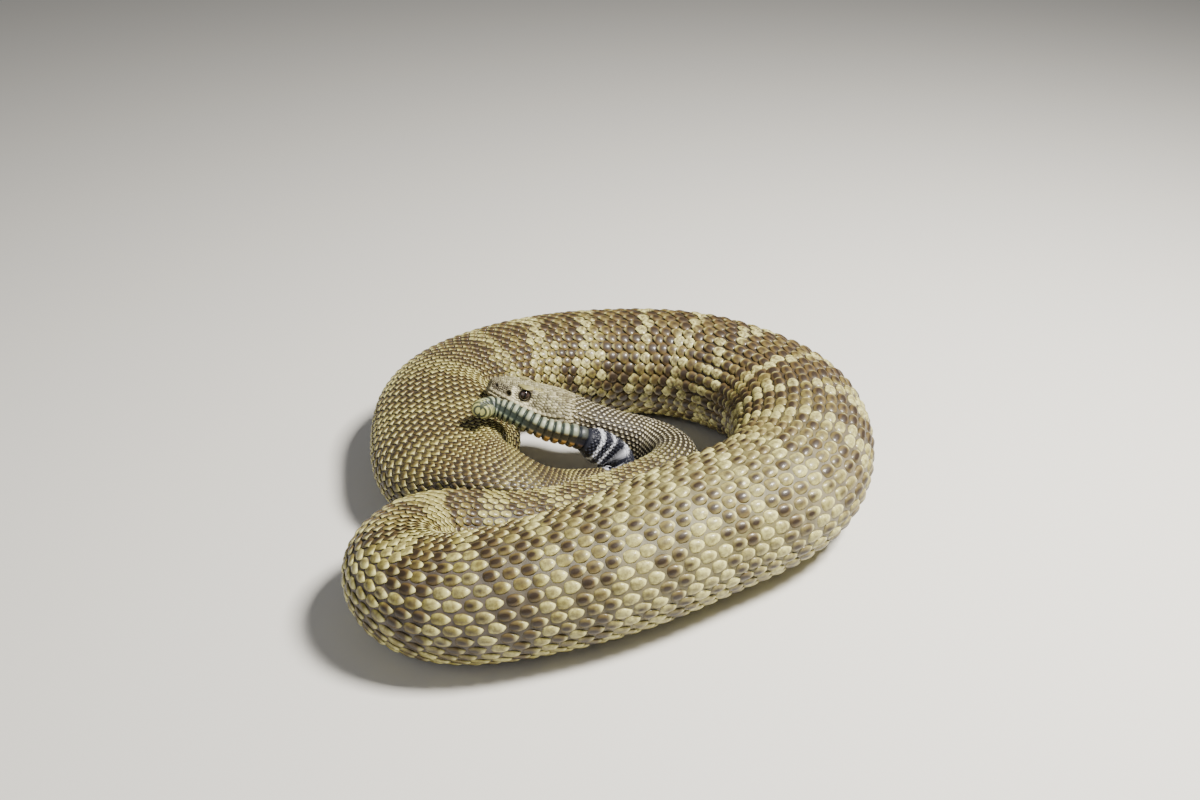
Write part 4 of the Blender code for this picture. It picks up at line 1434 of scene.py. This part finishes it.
def rattle_profile():
    """Place in ring lengths, share of the full height, and shade of every station of the rattle."""
    stations = []
    for k in range(RATTLE_SEGMENTS):
        swell = 1.0 + 0.03 * math.sin(2.1 * k)
        for part, height in RING_PROFILE:
            stations.append((k + part, height * swell, (height - GROOVE_HEIGHT) / (1 - GROOVE_HEIGHT)))
    for past, height, shade in BUTTON_PROFILE:
        stations.append((RATTLE_SEGMENTS + past, height, shade))
    return np.array(stations).T


class SNAKE_OT_rattle(bpy.types.Operator):
    """Build the rattle of interlocking horn rings"""

    bl_idname = "snake.rattle"
    bl_label = "Rattle"

    def execute(self, context):
        way = shared_surface().way
        line = np.array(RATTLE_LINE, dtype=float) - (*PLAN_CENTRE, 0)
        lead, forward = way.read(np.array([way.length - RATTLE_LEAD, way.length]))[:2]
        distance, centre = even_stations(np.concatenate([lead, line]), 1, FINE_STEP)
        along = np.gradient(centre, distance, axis=0)
        along[0] = forward[1]
        place, size, groove = rattle_profile()
        share = place / (RATTLE_SEGMENTS + BUTTON_PITCHES)
        share = share * (1 - RATTLE_SHRINK * share / 2) / (1 - RATTLE_SHRINK / 2)
        place = distance[-1] * share
        forward = unit(read_columns(place, distance, along))
        left = level_left(forward)
        up = np.cross(forward, left)
        roll = (math.radians(RATTLE_TWIST) * share ** 2)[:, None]
        left, up = left * np.cos(roll) - up * np.sin(roll), up * np.cos(roll) + left * np.sin(roll)
        middle = read_columns(place, distance, centre)
        tall, wide = (size * (at_root + (at_tip - at_root) * share)
                      for at_root, at_tip in zip(RATTLE_ROOT, RATTLE_TIP))
        turn = np.linspace(0.0, 2 * math.pi, RATTLE_COLUMNS)
        to_side = 1 - np.abs(np.sin(turn))
        lobe = 1 - 0.15 * bump(to_side, 0.0, 0.07) + 0.03 * np.cos(turn) ** 4
        across = wide[:, None] * (lobe * np.sin(turn))[None]
        high = tall[:, None] * (lobe * np.cos(turn))[None] * 0.97
        points = middle[:, None] + left[:, None] * across[..., None] + up[:, None] * high[..., None]
        points = np.concatenate([np.broadcast_to(points[0].mean(axis=0), points[:1].shape), points])
        share, groove = np.concatenate([share[:1], share]), np.concatenate([groove[:1], groove])
        # Crest is 0 in the grooves and along both sides, where painted shade goes.
        crest = np.minimum(groove[:, None], 1 - 0.4 * bump(to_side, 0.0, 0.05)[None])
        ring = np.stack(np.broadcast_arrays(share[:, None], crest, np.cos(turn)[None]), axis=-1)
        piece = link_piece("rattle_rings", sheet_to_rings("rattle_rings", points, {"ring": ring}))
        give_material(piece, "dry_horn", finish_rattle)
        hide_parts("rattle")
        return {"FINISHED"}


def add_light(name, place, size, power, colour):
    """A square soft light turned to the snake."""
    data = bpy.data.lights.new(name, "AREA")
    data.shape = "SQUARE"
    data.size = size
    data.energy = power
    data.color = colour
    lamp = bpy.data.objects.new(name, data)
    bpy.context.scene.collection.objects.link(lamp)
    lamp.location = place
    lamp.rotation_euler = (Vector(LIGHT_AIM) - Vector(place)).to_track_quat("-Z", "Y").to_euler()


class SNAKE_OT_stage(bpy.types.Operator):
    """Set the floor, the lights and the camera"""

    bl_idname = "snake.stage"
    bl_label = "Stage"

    def execute(self, context):
        build = bmesh.new()
        bmesh.ops.create_grid(build, x_segments=1, y_segments=1, size=FLOOR_SIZE)
        mesh = bpy.data.meshes.new("floor")
        build.to_mesh(mesh)
        build.free()
        floor = bpy.data.objects.new("floor", mesh)
        context.scene.collection.objects.link(floor)
        material = new_material("floor_paint")
        finish(Graph(material.node_tree), {
            "Base Color": (*context.scene.snake_colours.floor, 1.0), "Roughness": 0.8})
        mesh.materials.append(material)

        world = bpy.data.worlds.new("studio")
        world.use_nodes = True
        sky = world.node_tree.nodes["Background"].inputs
        sky["Color"].default_value = (*SKY, 1.0)
        sky["Strength"].default_value = SKY_STRENGTH
        context.scene.world = world
        for light in LIGHTS:
            add_light(*light)

        data = bpy.data.cameras.new("camera")
        data.lens = LENS
        data.sensor_width = SENSOR
        data.clip_start = 0.01
        camera = bpy.data.objects.new("camera", data)
        context.scene.collection.objects.link(camera)
        camera.location = CAMERA_PLACE
        camera.rotation_euler = (math.radians(CAMERA_TILT), 0.0, 0.0)
        context.scene.camera = camera
        return {"FINISHED"}


STEPS = (SNAKE_OT_skin, SNAKE_OT_back_scales, SNAKE_OT_belly_plates, SNAKE_OT_head_scales,
         SNAKE_OT_eyes, SNAKE_OT_rattle, SNAKE_OT_stage)


class SNAKE_PT_panel(bpy.types.Panel):
    """Lists the steps and the values that a user may change"""

    bl_idname = "SNAKE_PT_panel"
    bl_label = "Rattlesnake"
    bl_space_type = "VIEW_3D"
    bl_region_type = "UI"
    bl_category = "Rattlesnake"

    def draw(self, context):
        for group in (context.scene.snake_sizes, context.scene.snake_colours):
            for key in group.__annotations__:
                self.layout.prop(group, key)
        for step in STEPS:
            self.layout.operator(step.bl_idname)


CLASSES = (SnakeSizes, SnakeColours, *STEPS, SNAKE_PT_panel)


def register():
    for item in CLASSES:
        bpy.utils.register_class(item)
    bpy.types.Scene.snake_sizes = bpy.props.PointerProperty(type=SnakeSizes)
    bpy.types.Scene.snake_colours = bpy.props.PointerProperty(type=SnakeColours)


def unregister():
    del bpy.types.Scene.snake_colours
    del bpy.types.Scene.snake_sizes
    for item in reversed(CLASSES):
        bpy.utils.unregister_class(item)


def main():
    register()
    for step in STEPS:
        area, name = step.bl_idname.split(".")
        getattr(getattr(bpy.ops, area), name)()


if __name__ == "__main__":
    main()
